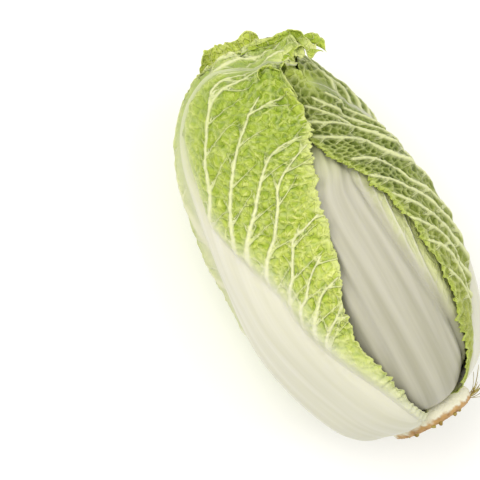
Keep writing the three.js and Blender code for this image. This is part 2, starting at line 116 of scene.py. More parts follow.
class Noise:
    """Repeatable smooth noise and cell patterns on a table of random numbers."""

    def __init__(self, seed: int) -> None:
        """Fills the table, by a seed that gives each leaf its own pattern."""
        self.size = 256
        self.table = np.random.default_rng(seed).random((2, self.size, self.size))

    def _at(self, layer: int, i: Array, j: Array) -> Array:
        """A layer's random number at whole places, repeating past the table's edge."""
        return self.table[layer][i % self.size, j % self.size]

    def smooth(self, x: Array, y: Array) -> Array:
        """Value noise from -1 to 1.

        Args:
            x: First coordinate, in waves.
            y: Second coordinate, in waves.

        Returns:
            The noise at each place.
        """
        x, y = np.broadcast_arrays(np.asarray(x, float), np.asarray(y, float))
        i, j = np.floor(x).astype(int), np.floor(y).astype(int)
        u, v = smoothstep(x - i, 0, 1), smoothstep(y - j, 0, 1)
        low = mix(self._at(0, i, j), self._at(0, i + 1, j), u)
        high = mix(self._at(0, i, j + 1), self._at(0, i + 1, j + 1), u)
        return 2 * mix(low, high, v) - 1

    def layered(self, x: Array, y: Array, octaves: int = 3) -> Array:
        """Noise of about -1 to 1 in layers, each twice as fine and half as strong as the last."""
        total = sum(self.smooth(x * 2**k + 17.3 * k, y * 2**k + 9.1 * k) / 2**k for k in range(octaves))
        return total / (2 - 2 ** (1 - octaves))

    def cells(self, x: Array, y: Array, spread: float = 0.85) -> Array:
        """The distance from the walls of a net of cells.

        Args:
            x: First coordinate, in cells.
            y: Second coordinate, in cells.
            spread: How far the cells' middles stray from a plain grid.

        Returns:
            0 on a wall, growing to about 0.5 in a cell's middle.
        """
        i, j = np.floor(x).astype(int), np.floor(y).astype(int)
        first = np.full(x.shape, 9.0)
        second = np.full(x.shape, 9.0)
        for di in (-1, 0, 1):
            for dj in (-1, 0, 1):
                a, b = i + di, j + dj
                mx = a + 0.5 + spread * (self._at(0, a, b) - 0.5)
                my = b + 0.5 + spread * (self._at(1, a, b) - 0.5)
                far = np.hypot(x - mx, y - my)
                second = np.minimum(second, np.maximum(first, far))
                first = np.minimum(first, far)
        return (second - first) / 2


# -------------------- the head's form


@dataclass
class HeadForm:
    """The barrel shape that the leaves wrap, in millimetres and degrees."""

    outline: Points = (
        (9, 0), (10, 24), (6, 36), (7, 46), (14, 56), (30, 67), (60, 77), (90, 82), (120, 83.5),
        (150, 82), (180, 78.5), (208, 74), (230, 69), (248, 61.5), (264, 52), (278, 40), (289, 26),
        (295, 12), (297, 0),
    )
    flattening: float = 0.95  # its height as a share of its width
    crown_lean: float = 38  # how far the leaf tips meet from the head's end
    crown_turn: float = 43  # the turn that they meet towards
    lean_starts: float = 0.45  # the rise where the leaves start to lean that way
    top_turn: float = 12  # the turn that lies uppermost
    spine: tuple[float, float] = (80, 212)  # the stretch of the axis that heights go out from
    axis_height: float = 68.6  # over the surface that the head lies on
    mid_length: float = 150  # from the cut stem to the frame's middle, along the axis
    mid_width: float = 3.6  # from the axis to the frame's middle
    give_below: float = 24  # the height under which the head gives way to its weight
    give_ratio: float = 0.8  # what is left of the depth there, as a share
    steps_per_span: int = 60

    def __post_init__(self) -> None:
        """Draws the outline as points spaced evenly along it."""
        p = np.array(self.outline, float)
        p = np.vstack([p[0], p, p[-1]])
        t = np.arange(self.steps_per_span)[:, None] / self.steps_per_span
        spans = []
        for a, b, c, d in zip(p, p[1:], p[2:], p[3:]):
            va, vb = (c - a) / 2, (d - b) / 2
            spans.append((2 * b - 2 * c + va + vb) * t**3 + (3 * c - 3 * b - 2 * va - vb) * t**2 + va * t + b)
        line = np.vstack([*spans, p[-1:]])
        along = np.r_[0, np.cumsum(np.hypot(*np.diff(line, axis=0).T))]
        self.length = float(along[-1])
        self._share = along / along[-1]
        self._line = line

    def nominal(self, rise: Array, turn: Array) -> Array:
        """The nominal surface.

        Args:
            rise: Rises, 0 to 1.
            turn: Turns in degrees.

        Returns:
            Points from the middle of the cut stem, with the axis at height 0.
        """
        rise, turn = np.broadcast_arrays(rise, turn)
        polar, angle = np.pi * rise, np.radians(turn)
        x, y, z = -np.cos(polar), np.sin(polar) * np.sin(angle), np.sin(polar) * np.cos(angle)
        side = np.radians(self.crown_turn)
        lean = np.radians(self.crown_lean) * smoothstep(rise, self.lean_starts, 1)
        q = y * np.sin(side) + z * np.cos(side)
        y, z = y - q * np.sin(side), z - q * np.cos(side)
        x, q = x * np.cos(lean) - q * np.sin(lean), x * np.sin(lean) + q * np.cos(lean)
        y, z = y + q * np.sin(side), z + q * np.cos(side)
        share = np.arccos(np.clip(-x, -1, 1)) / np.pi
        along = np.interp(share, self._share, self._line[:, 0])
        radius = np.interp(share, self._share, self._line[:, 1])
        around = np.arctan2(y, z) - np.radians(self.top_turn)
        return np.stack([along, -radius * np.sin(around), self.flattening * radius * np.cos(around)], -1)

    def place(self, rise: Array, turn: Array, height: Array) -> Array:
        """Points over the nominal surface, as the head lies.

        Args:
            rise: Rises, 0 to 1.
            turn: Turns in degrees.
            height: Heights over the nominal surface in millimetres.

        Returns:
            The points in metres, in the frame.
        """
        p = self.nominal(rise, turn)
        spine = np.zeros_like(p)
        spine[..., 0] = np.clip(p[..., 0], *self.spine)
        way = p - spine
        p = p + way / np.linalg.norm(way, axis=-1, keepdims=True) * np.asarray(height)[..., None]
        return self.settle(p)

    def settle(self, p: Array) -> Array:
        """Moves points from the head's own place to where it lies, pressed on the surface.

        Args:
            p: Points from the middle of the cut stem, in millimetres.

        Returns:
            The points in metres, in the frame.
        """
        up = p[..., 2] + self.axis_height
        up = np.where(up < self.give_below, self.give_below - (self.give_below - up) * self.give_ratio, up)
        up = np.maximum(up, 0)
        return np.stack([p[..., 0] - self.mid_length, p[..., 1] - self.mid_width, up], -1) * MM


# -------------------- the layers


class Layers:
    """The height of all that has been laid so far, over every rise and turn."""

    def __init__(self, form: HeadForm, rows: int = 640, columns: int = 960) -> None:
        """Sets up the raster.

        Args:
            form: The head's form.
            rows: Steps of rise.
            columns: Steps of turn.
        """
        self.form, self.rows, self.columns = form, rows, columns
        self.rise = (np.arange(rows + 1) / rows)[:, None]
        self.turn = (np.arange(columns) * 360 / columns)[None, :]
        p = form.nominal(self.rise, self.turn)
        along = np.linalg.norm(np.gradient(p, axis=0), axis=-1) * rows
        round_ = np.linalg.norm(np.roll(p, -1, 1) - np.roll(p, 1, 1), axis=-1) / (720 / columns)
        self.mm_per_rise = np.maximum(along, form.length * 0.3)
        self.mm_per_degree = np.maximum(round_, 0.05)
        self.height = np.full((rows + 1, columns), EMPTY)

    def smooth(self, values: Array, reach: float) -> Array:
        """Blurs a field over the raster.

        Args:
            values: The field.
            reach: How far it is blurred, in millimetres.

        Returns:
            The blurred field.
        """
        waves = np.fft.rfftfreq(self.columns) * 2 * np.pi
        cells = reach / (self.mm_per_degree.mean(axis=1) * 360 / self.columns)
        spectrum = np.fft.rfft(values, axis=1) * np.exp(-0.5 * (waves[None, :] * cells[:, None]) ** 2)
        blurred = np.fft.irfft(spectrum, n=self.columns, axis=1)
        sigma = reach / (self.form.length / self.rows)
        width = int(math.ceil(3 * sigma))
        kernel = np.exp(-0.5 * (np.arange(-width, width + 1) / max(sigma, 1e-6)) ** 2)
        kernel /= kernel.sum()
        padded = np.pad(blurred, ((width, width), (0, 0)), mode="edge")
        out = np.zeros_like(blurred)
        for k, weight in enumerate(kernel):
            out += weight * padded[k : k + blurred.shape[0]]
        return out

    def drape(self, gap: Array) -> Array:
        """The under face of a leaf laid on the layers, which spans their small hollows.

        Args:
            gap: The room under the leaf, in millimetres.

        Returns:
            Its height.
        """
        # A high stiffness keeps the face on the peaks, where a plain blur would cut through them.
        stiffness = 0.9
        lowest = self.height.min()
        spanned = np.log(self.smooth(np.exp(stiffness * (self.height - lowest)), 5.0)) / stiffness + lowest
        spanned = self.smooth(np.maximum(spanned, self.height + 0.3), 2.0)
        return np.maximum(spanned, self.height) + gap

    def lay(self, where: Array, top: Array) -> None:
        """Raises the layers to a leaf's outer face where the leaf is."""
        self.height = np.where(where, np.maximum(self.height, top), self.height)

    def read(self, values: Array, rise: Array, turn: Array) -> Array:
        """Reads a field between the raster's places.

        Args:
            values: The field.
            rise: Rises to read it at.
            turn: Turns to read it at.

        Returns:
            Its value at each place.
        """
        y = np.clip(rise, 0, 1) * self.rows
        x = (turn % 360) * self.columns / 360
        i, j = np.minimum(y.astype(int), self.rows - 1), x.astype(int)
        u, v = y - i, x - j
        j0, j1 = j % self.columns, (j + 1) % self.columns
        low = mix(values[i, j0], values[i, j1], v)
        high = mix(values[i + 1, j0], values[i + 1, j1], v)
        return mix(low, high, u)


# -------------------- leaf plans


class Shade(Enum):
    """How green a leaf's blade has grown; FRONT and SHADED also hold painted light and shade."""

    OUTER = "outer"
    # FRONT: a rib darkened as painted shade and a blade lightened as painted light.
    FRONT = "front"
    # SHADED: a darker green, partly the leaf's own and partly painted shade.
    SHADED = "shaded"
    INNER = "inner"


@dataclass(frozen=True)
class Veins:
    """The veins and the crinkled blade between them, in millimetres."""

    spacing: float = 22  # between two side veins, along the rib
    climb: float = 0.62  # how far a side vein climbs to the margin, as a share of the leaf
    bend: float = 0.7  # below 1, a side vein turns outwards as it goes
    height: float = 1.9  # of a side vein where it leaves the rib
    width: float = 1.7
    slim: float = 0.55  # its width at its far end, as a share
    branch_spacing: float = 20
    branch_length: float = 36
    branch_angle: float = 38
    inward: float = 0.45  # how long the branches towards the rib are, as a share of the others
    twig_spacing: float = 14
    twig_length: float = 9
    white: float = 25  # how far the rib's white runs into the blade
    calm: float = 0.6  # how rough the blade is beside the rib, as a share of its margin's roughness
    net_cell: float = 8.5  # across one cell of the net of veinlets
    net_height: float = 0.5
    net_pale: float = 0.25  # how clearly the veinlets are coloured
    pillow: float = 0.7  # how far the blade bulges between the veins
    pit: float = 0.0  # how far it sinks between them
    fold_size: float = 6.5
    fold_height: float = 0.55
    crease_height: float = 0.25
    contrast: float = 0.55  # how much painted highlight and shade a millimetre of relief is worth
    # The blade's darkening towards the crown is partly painted shade there.
    greens: tuple[float, float] = (0.25, 0.95)  # the rises between which the blade turns greener
    swell: float = 2.2  # the height of the blade's broad swellings
    left: tuple[Points, ...] = ()  # side veins drawn one by one, as rises and turns
    right: tuple[Points, ...] = ()


@dataclass(frozen=True)
class Rib:
    """The ridges of a rib: the room each takes, its height, and how far it wanders, in millimetres."""

    room: float = 9
    height: float = 0.25
    wander: float = 3
    wear: float = 0.1


@dataclass(frozen=True)
class Edge:
    """A leaf's margins, in millimetres: left, right and tip where there are three."""

    scallop: float = 2.6  # how far its margins swing in and out
    tip_scallop: float = 4.0
    frill: float = 1.0  # how much deeper its teeth are near the base
    wave: float = 11  # the length of one swing
    lift: tuple[float, float, float] = (0, 0, 0)  # how far it stands off
    ruffle: tuple[float, float, float] = (0.3, 0.3, 0.6)  # how far it waves up and down
    reach: float = 0.16  # the share of the blade that a lifted margin takes up


OUTER_HALF: Points = (
    (0.07, 42), (0.15, 42), (0.22, 37), (0.32, 30), (0.42, 22), (0.52, 14), (0.62, 7), (0.72, 3.5),
    (0.82, 2), (0.95, 1),
)
INNER_HALF: Points = ((0.07, 34), (0.2, 27), (0.35, 18), (0.5, 10), (0.7, 3.5), (0.95, 1.5))
INNER_RISES = (0.07, 0.3, 0.6, 0.9)
INNER_VEINS = Veins(height=1.2, pillow=0.4, fold_height=0.3, swell=0.8, branch_spacing=30)
INNER_EDGE = Edge(ruffle=(0.2, 0.2, 1.5))


@dataclass(frozen=True)
class LeafPlan:
    """Where a leaf lies and how it is made. Its lines are of rise and degrees of turn."""

    name: str
    seed: int
    rib: Points
    half: tuple[Points, Points]  # the rib's width to its left and right
    left: Points
    right: Points
    tip: float  # the rise of its end
    fall: tuple[float, float]  # how much lower its end is at its left and right margin
    slot: str = "outer_leaf"
    rib_share: float = 1.0
    tip_flare: tuple[float, float] = (0, 0)  # how far its tip leans out, left and right
    stand: Points = ((0, 0), (1, 0))  # how much higher it lies, in millimetres
    shoulder: Points = ((0, 0), (1, 0))  # how much higher it lies to the right of its rib
    bridge: Points = ()  # the lowest that its under face goes, where it spans a hollow
    rows: int = 150
    columns: tuple[int, int, int] = (40, 20, 40)  # in its left blade, its rib and its right blade
    shade: Shade = Shade.OUTER
    veins: Veins = Veins()
    ridges: Rib = Rib()
    edge: Edge = Edge()


def inner_leaf(
    name: str, seed: int, turn: float, left: Sequence[float], right: Sequence[float], tip: float
) -> LeafPlan:
    """Plans a small pale leaf close to the heart.

    Args:
        name: The leaf's name.
        seed: Its seed.
        turn: The turn of its rib.
        left: Its left margin's turns at INNER_RISES.
        right: Its right margin's turns at INNER_RISES.
        tip: The rise of its tip.

    Returns:
        The plan.
    """
    return LeafPlan(
        name=name, seed=seed, slot="inner_leaf", rib_share=0.5, shade=Shade.INNER,
        rib=((0, turn), (1, turn)), half=(INNER_HALF, INNER_HALF),
        left=tuple(zip(INNER_RISES, left)), right=tuple(zip(INNER_RISES, right)),
        tip=tip, fall=(0.05, 0.05), veins=INNER_VEINS, edge=INNER_EDGE,
    )


LEAF_PLANS: tuple[LeafPlan, ...] = (
    inner_leaf("leaf_8_inner_front", 8, -28, (-66, -88, -98, -95), (10, 32, 42, 40), 0.92),
    inner_leaf("leaf_7_inner_right", 7, 50, (12, -8, -18, -15), (88, 110, 120, 118), 0.93),
    inner_leaf("leaf_6_inner_left", 6, -112, (-150, -172, -182, -180), (-74, -52, -42, -44), 0.94),
    LeafPlan(
        name="leaf_5_back_right", seed=5, rib_share=0.85, rows=200, columns=(60, 24, 60),
        rib=((0, 145), (1, 145)), half=(OUTER_HALF, OUTER_HALF),
        left=((0.07, 100), (0.3, 84), (0.5, 72), (0.7, 70), (0.9, 76)),
        right=((0.07, 190), (0.3, 206), (0.5, 218), (0.7, 220), (0.9, 214)),
        tip=0.93, fall=(0.06, 0.06),
    ),
    LeafPlan(
        name="leaf_4_front", seed=4, rib_share=0.95, rows=260, columns=(50, 60, 60),
        shade=Shade.FRONT, tip=0.93, fall=(0.06, 0.06),
        rib=((0, 8), (0.6, 8), (0.7, 12), (0.85, 10), (1, 10)),
        half=(
            ((0.07, 27), (0.15, 29), (0.25, 27), (0.35, 24), (0.5, 20), (0.6, 18), (0.7, 12), (0.8, 6),
             (0.95, 2)),
            ((0.07, 33), (0.15, 37), (0.2, 37.5), (0.26, 35), (0.32, 30.5), (0.37, 26), (0.42, 22),
             (0.46, 20), (0.52, 19.5), (0.6, 18.5), (0.65, 16), (0.7, 13), (0.8, 6.5), (0.95, 2)),
        ),
        left=((0.07, -26), (0.2, -36), (0.3, -45), (0.5, -58), (0.7, -60), (0.9, -50)),
        right=((0.07, 42), (0.2, 52), (0.3, 60), (0.5, 70), (0.7, 72), (0.9, 62)),
        shoulder=((0.12, 0), (0.22, 3), (0.5, 3.5), (0.65, 1.5), (0.75, 0)),
        ridges=Rib(room=14, height=1.7, wander=3, wear=0.02),
        veins=Veins(
            spacing=34, climb=0.6, pillow=0.4, swell=0.8, branch_length=12, height=1.3, width=1.1,
            right=(
                ((0.2, 44), (0.28, 41), (0.36, 37), (0.42, 36), (0.5, 40), (0.58, 46)),
                ((0.26, 42), (0.34, 36), (0.41, 32), (0.47, 32), (0.54, 35), (0.62, 41)),
                ((0.32, 37), (0.38, 32), (0.45, 28.5), (0.52, 30), (0.6, 34), (0.68, 40)),
                ((0.38, 31), (0.46, 27.5), (0.54, 28), (0.62, 29), (0.7, 33), (0.78, 40)),
                ((0.46, 27), (0.54, 27), (0.62, 26), (0.7, 26), (0.78, 29), (0.86, 36)),
                ((0.56, 25), (0.64, 23.5), (0.7, 22), (0.78, 22), (0.86, 26)),
            ),
        ),
    ),
    LeafPlan(
        name="leaf_3_under", seed=3, rows=240, columns=(80, 30, 80),
        tip_flare=(0, 5), stand=((0.07, 2), (0.3, 5), (0.45, 3.5), (0.6, 0)),
        rib=((0, -165), (1, -165)), half=(OUTER_HALF, OUTER_HALF),
        left=((0.07, -214), (0.2, -222), (0.3, -232), (0.5, -240), (0.7, -242), (0.9, -236)),
        right=((0.07, -116), (0.2, -106), (0.3, -96), (0.5, -88), (0.7, -84), (0.9, -88)),
        tip=0.875, fall=(0.05, 0.015),
        edge=Edge(scallop=4, tip_scallop=6, wave=14, lift=(0.5, 0.5, 1), ruffle=(0.6, 0.9, 3)),
    ),
    LeafPlan(
        name="leaf_2_right", seed=2, rib_share=0.62, rows=300, columns=(82, 28, 48),
        rib=((0, 92), (0.18, 93), (0.3, 98), (0.45, 101), (0.7, 101), (0.8, 102), (1, 106)),
        half=(
            ((0.07, 48), (0.14, 46), (0.18, 39), (0.23, 27), (0.28, 17), (0.34, 11), (0.42, 8), (0.52, 6.5),
             (0.62, 6), (0.72, 5), (0.82, 2.5), (0.95, 1)),
            OUTER_HALF,
        ),
        left=(
            (0.07, 33), (0.14, 36.5), (0.2, 40), (0.25, 42), (0.31, 43), (0.38, 42), (0.43, 39),
            (0.48, 36.5), (0.55, 34), (0.6, 30.5), (0.65, 28.5), (0.69, 25), (0.73, 18), (0.8, 5),
            (0.85, -12), (0.88, -30), (0.91, -58), (0.94, -100), (0.96, -135), (0.98, -150), (1, -160),
        ),
        right=(
            (0.07, 148), (0.2, 158), (0.4, 164), (0.6, 168), (0.8, 172), (0.93, 180), (0.96, 192),
            (0.98, 198), (1, 198),
        ),
        tip=0.998, fall=(0.0, 0.0), shade=Shade.SHADED,
        stand=((0.75, 0), (0.8, -1.5), (0.88, -2.5), (1, 0)),
        bridge=((0.84, -40), (0.88, -12), (0.92, -7), (1, -5)),
        veins=Veins(
            height=2.6, width=2.4, slim=0.9, climb=0.45, white=9, greens=(0.22, 0.66),
            branch_length=15, branch_spacing=18, net_cell=7.0, net_height=0.6, net_pale=0.3,
            pillow=0.0, pit=1.1, swell=1.2, fold_height=0.4,
            left=(
                ((0.72, 88), (0.814, 83), (0.906, 76), (0.95, 60)),
                ((0.61, 93), (0.743, 76.4), (0.833, 70), (0.898, 55), (0.93, 35), (0.945, 10)),
                ((0.57, 93), (0.683, 70.2), (0.778, 63), (0.841, 55), (0.886, 38), (0.912, 14), (0.92, -5)),
                ((0.75, 66), (0.818, 58), (0.86, 35), (0.869, 11), (0.873, -5)),
                ((0.51, 93), (0.623, 66.6), (0.697, 56.4), (0.761, 49), (0.797, 36), (0.817, 20), (0.82, 5)),
                ((0.43, 93), (0.54, 62.4), (0.597, 57), (0.651, 48), (0.687, 39.6), (0.708, 29)),
                ((0.37, 93), (0.465, 70), (0.503, 62), (0.54, 51.4), (0.58, 44), (0.623, 32.8)),
                ((0.33, 93), (0.426, 67), (0.455, 59), (0.49, 50), (0.544, 38)),
                ((0.29, 93), (0.392, 63), (0.425, 56), (0.449, 48.4), (0.479, 38)),
                ((0.24, 93), (0.344, 61.6), (0.377, 57), (0.409, 50), (0.427, 42)),
                ((0.19, 93), (0.29, 62), (0.33, 56), (0.365, 48)),
            ),
        ),
        edge=Edge(scallop=2.6, frill=1.8, wave=9, lift=(0.9, 0.5, 0), ruffle=(1.3, 0.8, 0.5)),
    ),
    LeafPlan(
        name="leaf_1_left", seed=1, rows=300, columns=(50, 32, 76),
        rib=(
            (0, -60), (0.3, -65), (0.5, -67.5), (0.6, -69), (0.67, -73), (0.713, -80), (0.76, -89),
            (0.8, -94), (0.85, -97), (1, -100),
        ),
        half=(
            ((0.07, 52), (0.15, 50), (0.22, 43), (0.3, 33), (0.4, 25), (0.5, 18), (0.6, 8), (0.7, 3.4),
             (0.8, 2.2), (0.95, 1.2)),
            ((0.07, 52), (0.15, 51), (0.22, 47), (0.3, 39), (0.4, 32), (0.48, 29), (0.56, 20), (0.62, 9),
             (0.68, 4), (0.8, 2.4), (0.95, 1.2)),
        ),
        left=(
            (0.07, -116), (0.2, -120), (0.4, -126), (0.6, -126), (0.7, -117), (0.76, -109), (0.8, -105),
            (0.84, -105), (0.865, -111), (0.885, -124), (0.905, -147), (0.93, -180), (0.95, -206),
            (0.965, -226),
        ),
        right=(
            (0.07, 0), (0.2, -7), (0.27, -10), (0.34, -12), (0.4, -9.5), (0.45, -4), (0.5, 0),
            (0.55, 3.6), (0.6, 3), (0.67, 4.5), (0.76, 4), (0.845, -1), (0.885, -10), (0.91, -19),
            (0.925, -30), (0.94, -60), (0.955, -100), (0.965, -125),
        ),
        tip=0.965, fall=(0.0, 0.0),
        veins=Veins(
            width=1.9, calm=0.85, fold_size=5.2, fold_height=1.1, crease_height=0.35, contrast=0.85,
            pillow=1.1, swell=3.0, greens=(0.5, 0.95),
            left=(
                ((0.5, -76), (0.6, -79), (0.66, -84), (0.714, -92), (0.758, -99), (0.79, -105),
                 (0.84, -110), (0.9, -122)),
                ((0.5, -82), (0.58, -92), (0.66, -100), (0.74, -108), (0.82, -116)),
                ((0.4, -88), (0.5, -100), (0.58, -110), (0.66, -120)),
                ((0.32, -94), (0.4, -106), (0.48, -118)),
                ((0.82, -94), (0.87, -106), (0.91, -126), (0.93, -148)),
                ((0.86, -92), (0.9, -98), (0.935, -112), (0.95, -135)),
            ),
            right=(
                ((0.52, -64), (0.615, -59.4), (0.674, -54.8), (0.723, -57.2), (0.769, -64), (0.82, -73),
                 (0.87, -78), (0.93, -82)),
                ((0.81, -71), (0.837, -79), (0.867, -84), (0.92, -88)),
                ((0.49, -54), (0.572, -46), (0.626, -43.2), (0.671, -42), (0.719, -40.8), (0.766, -41.6),
                 (0.807, -43), (0.838, -46.4), (0.88, -52)),
                ((0.838, -46.4), (0.872, -43), (0.901, -34)),
                ((0.47, -50), (0.561, -40.4), (0.592, -36.8), (0.636, -30.4), (0.675, -27), (0.724, -24),
                 (0.764, -21), (0.796, -14.4), (0.815, -5.8)),
                ((0.43, -46), (0.519, -35.2), (0.551, -29.8), (0.582, -22.6), (0.631, -17.4), (0.677, -15.8),
                 (0.712, -12.6), (0.762, -5.6), (0.79, -1)),
                ((0.36, -42), (0.453, -31.4), (0.489, -24.4), (0.53, -18.4), (0.556, -14.6),
                 (0.568, -7.4), (0.584, 0)),
                ((0.34, -40), (0.428, -28.6), (0.446, -22.8), (0.473, -16.6), (0.5, -7)),
                ((0.31, -38), (0.39, -27.2), (0.422, -20.2), (0.44, -14.8), (0.452, -5)),
                ((0.28, -36), (0.362, -25.8), (0.392, -15.4), (0.408, -9.4)),
            ),
        ),
        edge=Edge(scallop=3.0, tip_scallop=9, frill=1.4, wave=12, lift=(1.5, 1.4, 4), ruffle=(3.5, 1.6, 6.0)),
        stand=(
            (0.07, 5), (0.2, 4), (0.4, 3.5), (0.5, 1), (0.62, 0), (0.74, 0.5), (0.8, 3), (0.85, 2), (0.9, 0),
        ),
    ),
)


@dataclass(frozen=True)
class Frill:
    """A ruffled rim of a leaf: a ribbon that stands on a line of rises and turns, in millimetres."""

    name: str
    leaf: str
    line: Points
    lean: tuple[float, float, float]  # the way it stands: to the crown, around the head, outwards
    reach: float = 8
    ruffle: float = 3
    wave: float = 12
    green: float = 0.75  # how green it is at its foot
    light: float = 0.0  # how much painted highlight it has all over
    sink: float = 1.0  # how far its foot is in the leaf
    curl: float = 0.5  # how far its free edge bends over, as a share of its reach
    seed: int = 1
    steps: tuple[int, int] = (150, 16)


FRILLS: tuple[Frill, ...] = (
    Frill(
        name="leaf_3_tip_frill", leaf="leaf_3_under", seed=21, reach=14, ruffle=4, wave=13, sink=1.5,
        line=((0.785, -106), (0.81, -116), (0.835, -130), (0.855, -146), (0.865, -160)),
        # No green and its light paint it paler, as painted light on a frill that faces away from the key
        # light.
        lean=(0.45, 0, 0.9), green=0, light=0.35,
    ),
    Frill(
        name="leaf_1_hood_frill", leaf="leaf_1_left", seed=22, reach=9, ruffle=4, wave=11, sink=0.8,
        line=((0.94, -60), (0.952, -100), (0.955, -140), (0.955, -180), (0.95, -218)), lean=(0.85, 0.1, 0.45),
    ),
    Frill(
        name="leaf_1_top_frill", leaf="leaf_1_left", seed=23, reach=5, ruffle=3, wave=10, sink=0.8,
        line=((0.885, -118), (0.905, -140), (0.925, -165), (0.94, -195)), lean=(0.3, -0.5, 0.8),
    ),
    Frill(
        name="leaf_1_peak_frill", leaf="leaf_1_left", seed=25, reach=9, ruffle=3, wave=14, sink=0.8, curl=0.2,
        line=((0.925, -178), (0.935, -200), (0.945, -222)), lean=(0.0, -0.4, 0.9),
    ),
    Frill(
        name="leaf_1_collar_frill", leaf="leaf_1_left", seed=26, reach=6, ruffle=2.5, wave=9, sink=0.6,
        line=((0.9, -58), (0.918, -72), (0.93, -68), (0.94, -56)), lean=(-0.5, 0.2, 0.8),
    ),
    Frill(
        name="leaf_1_margin_frill", leaf="leaf_1_left", seed=24, reach=6.5, ruffle=3, wave=10, sink=0.8,
        line=((0.82, -3), (0.85, -8), (0.885, -18), (0.905, -28), (0.92, -44)), lean=(0.1, 0.7, 0.7),
    ),
)


# -------------------- veins


@dataclass
class VeinMap:
    """Veins drawn on the raster as ridges."""

    layers: Layers

    def __post_init__(self) -> None:
        """Starts with none."""
        shape = self.layers.height.shape
        self.height, self.away = np.zeros(shape), np.full(shape, 30.0)
        # The nearest vein: the distance from its middle in half widths, signed by side and
        # not, and how clearly it is coloured.
        self.line, self.near, self.bold = np.full(shape, 9.0), np.full(shape, 9.0), np.zeros(shape)

    def scale(self, rise: float, turn: float) -> Array:
        """The millimetres in a unit of rise and in a degree.

        Args:
            rise: The place's rise.
            turn: The place's turn, in degrees.

        Returns:
            The two lengths.
        """
        i = int(np.clip(round(rise * self.layers.rows), 0, self.layers.rows))
        j = int(round((turn % 360) * self.layers.columns / 360)) % self.layers.columns
        return np.array([self.layers.mm_per_rise[i, j], self.layers.mm_per_degree[i, j]])

    def smooth_path(self, points: Points, steps: int = 6) -> Array:
        """Rounds a path's corners.

        Args:
            points: Its rises and turns.
            steps: How many points each span gets.

        Returns:
            Its rises and turns as rows.
        """
        places = np.array(points, float)
        key = np.arange(len(places), dtype=float)
        dense = np.linspace(0, len(places) - 1, (len(places) - 1) * steps + 1)
        return np.stack([Track(tuple(zip(key, column)))(dense) for column in places.T], -1)

    def draw(
        self, path: Array, height: tuple[float, float], width: tuple[float, float],
        bold: tuple[float, float],
    ) -> None:
        """Draws one vein.

        Args:
            path: Its rises and turns as rows.
            height: Its height at its two ends, in millimetres.
            width: Its half width at its two ends, in millimetres.
            bold: How clearly it is coloured at its two ends, from 0 to 1.
        """
        layers, reach = self.layers, 5.0
        cell = 360 / layers.columns
        scale = self.scale(*path[len(path) // 2])
        pad = reach / scale
        low, high = path.min(axis=0) - pad, path.max(axis=0) + pad
        first, last = int(low[0] * layers.rows), int(high[0] * layers.rows) + 2
        rows = np.arange(max(first, 0), min(last, layers.rows + 1))
        columns = np.arange(int(np.floor(low[1] / cell)), int(np.ceil(high[1] / cell)) + 1)
        if len(rows) == 0 or len(columns) > layers.columns:
            return
        where = np.ix_(rows, columns % layers.columns)
        rise, turn = (rows / layers.rows)[:, None], (columns * cell)[None, :]
        mm_rise, mm_turn = layers.mm_per_rise[where], layers.mm_per_degree[where]
        nearest, along = np.full(mm_rise.shape, 99.0), np.zeros(mm_rise.shape)
        side = np.ones(mm_rise.shape)
        for k, (a, b) in enumerate(zip(path, path[1:])):
            span_x, span_y = (b[0] - a[0]) * mm_rise, (b[1] - a[1]) * mm_turn
            x, y = (rise - a[0]) * mm_rise, (turn - a[1]) * mm_turn
            t = np.clip((x * span_x + y * span_y) / np.maximum(span_x**2 + span_y**2, 1e-6), 0, 1)
            far = np.hypot(x - t * span_x, y - t * span_y)
            closer = far < nearest
            nearest = np.where(closer, far, nearest)
            along = np.where(closer, (k + t) / (len(path) - 1), along)
            side = np.where(closer, np.where(x * span_y > y * span_x, 1.0, -1.0), side)
        wide = mix(width[0], width[1], along)
        bump = np.exp(-((nearest / wide) ** 2))
        self.height[where] = np.maximum(self.height[where], mix(height[0], height[1], along) * bump)
        # The finish draws each vein by its distance, so its line is crisper than the mesh.
        ratio = nearest / (0.62 * wide)
        closer = ratio < self.near[where]
        self.near[where] = np.where(closer, ratio, self.near[where])
        self.line[where] = np.where(closer, side * ratio, self.line[where])
        self.bold[where] = np.where(closer, mix(bold[0], bold[1], along), self.bold[where])
        self.away[where] = np.minimum(self.away[where], nearest)

    def branch(self, start: Array, heading: Array, length: float, curl: float) -> Array:
        """The path of a side branch.

        Args:
            start: Its rise and turn where it leaves.
            heading: Its direction in millimetres along the rise and the turn.
            length: Its length in millimetres.
            curl: How far it turns over its length, in radians.

        Returns:
            Its rises and turns as rows.
        """
        count = 6
        places, angle = [start], math.atan2(heading[1], heading[0])
        for _ in range(count):
            step = np.array([math.cos(angle), math.sin(angle)]) * length / count
            places.append(places[-1] + step / self.scale(*places[-1]))
            angle += curl / count
        return np.array(places)


# -------------------- leaves


@dataclass
class LeafPlaces:
    """Where each of the raster's places is on a leaf."""

    rise: Array
    right: Array  # True on its right side
    in_rib: Array  # 0 at the rib's middle to 1 at its edge
    across: Array  # 0 at the rib's edge to 1 at the margin
    along: Array  # 0 at the leaf's base to 1 at its end
    mm: Array  # along the head, from its base
    round_mm: Array  # around the head, from the rib's middle
    blade_mm: Array  # from the rib's edge, below 0 in the rib


@dataclass
class LeafFields:
    """A leaf's heights and marks over the raster."""

    where: Array
    top: Array
    bed: Array  # its top as the next leaf finds it, with no lean at the tip
    under: Array
    marks: dict[str, Array]


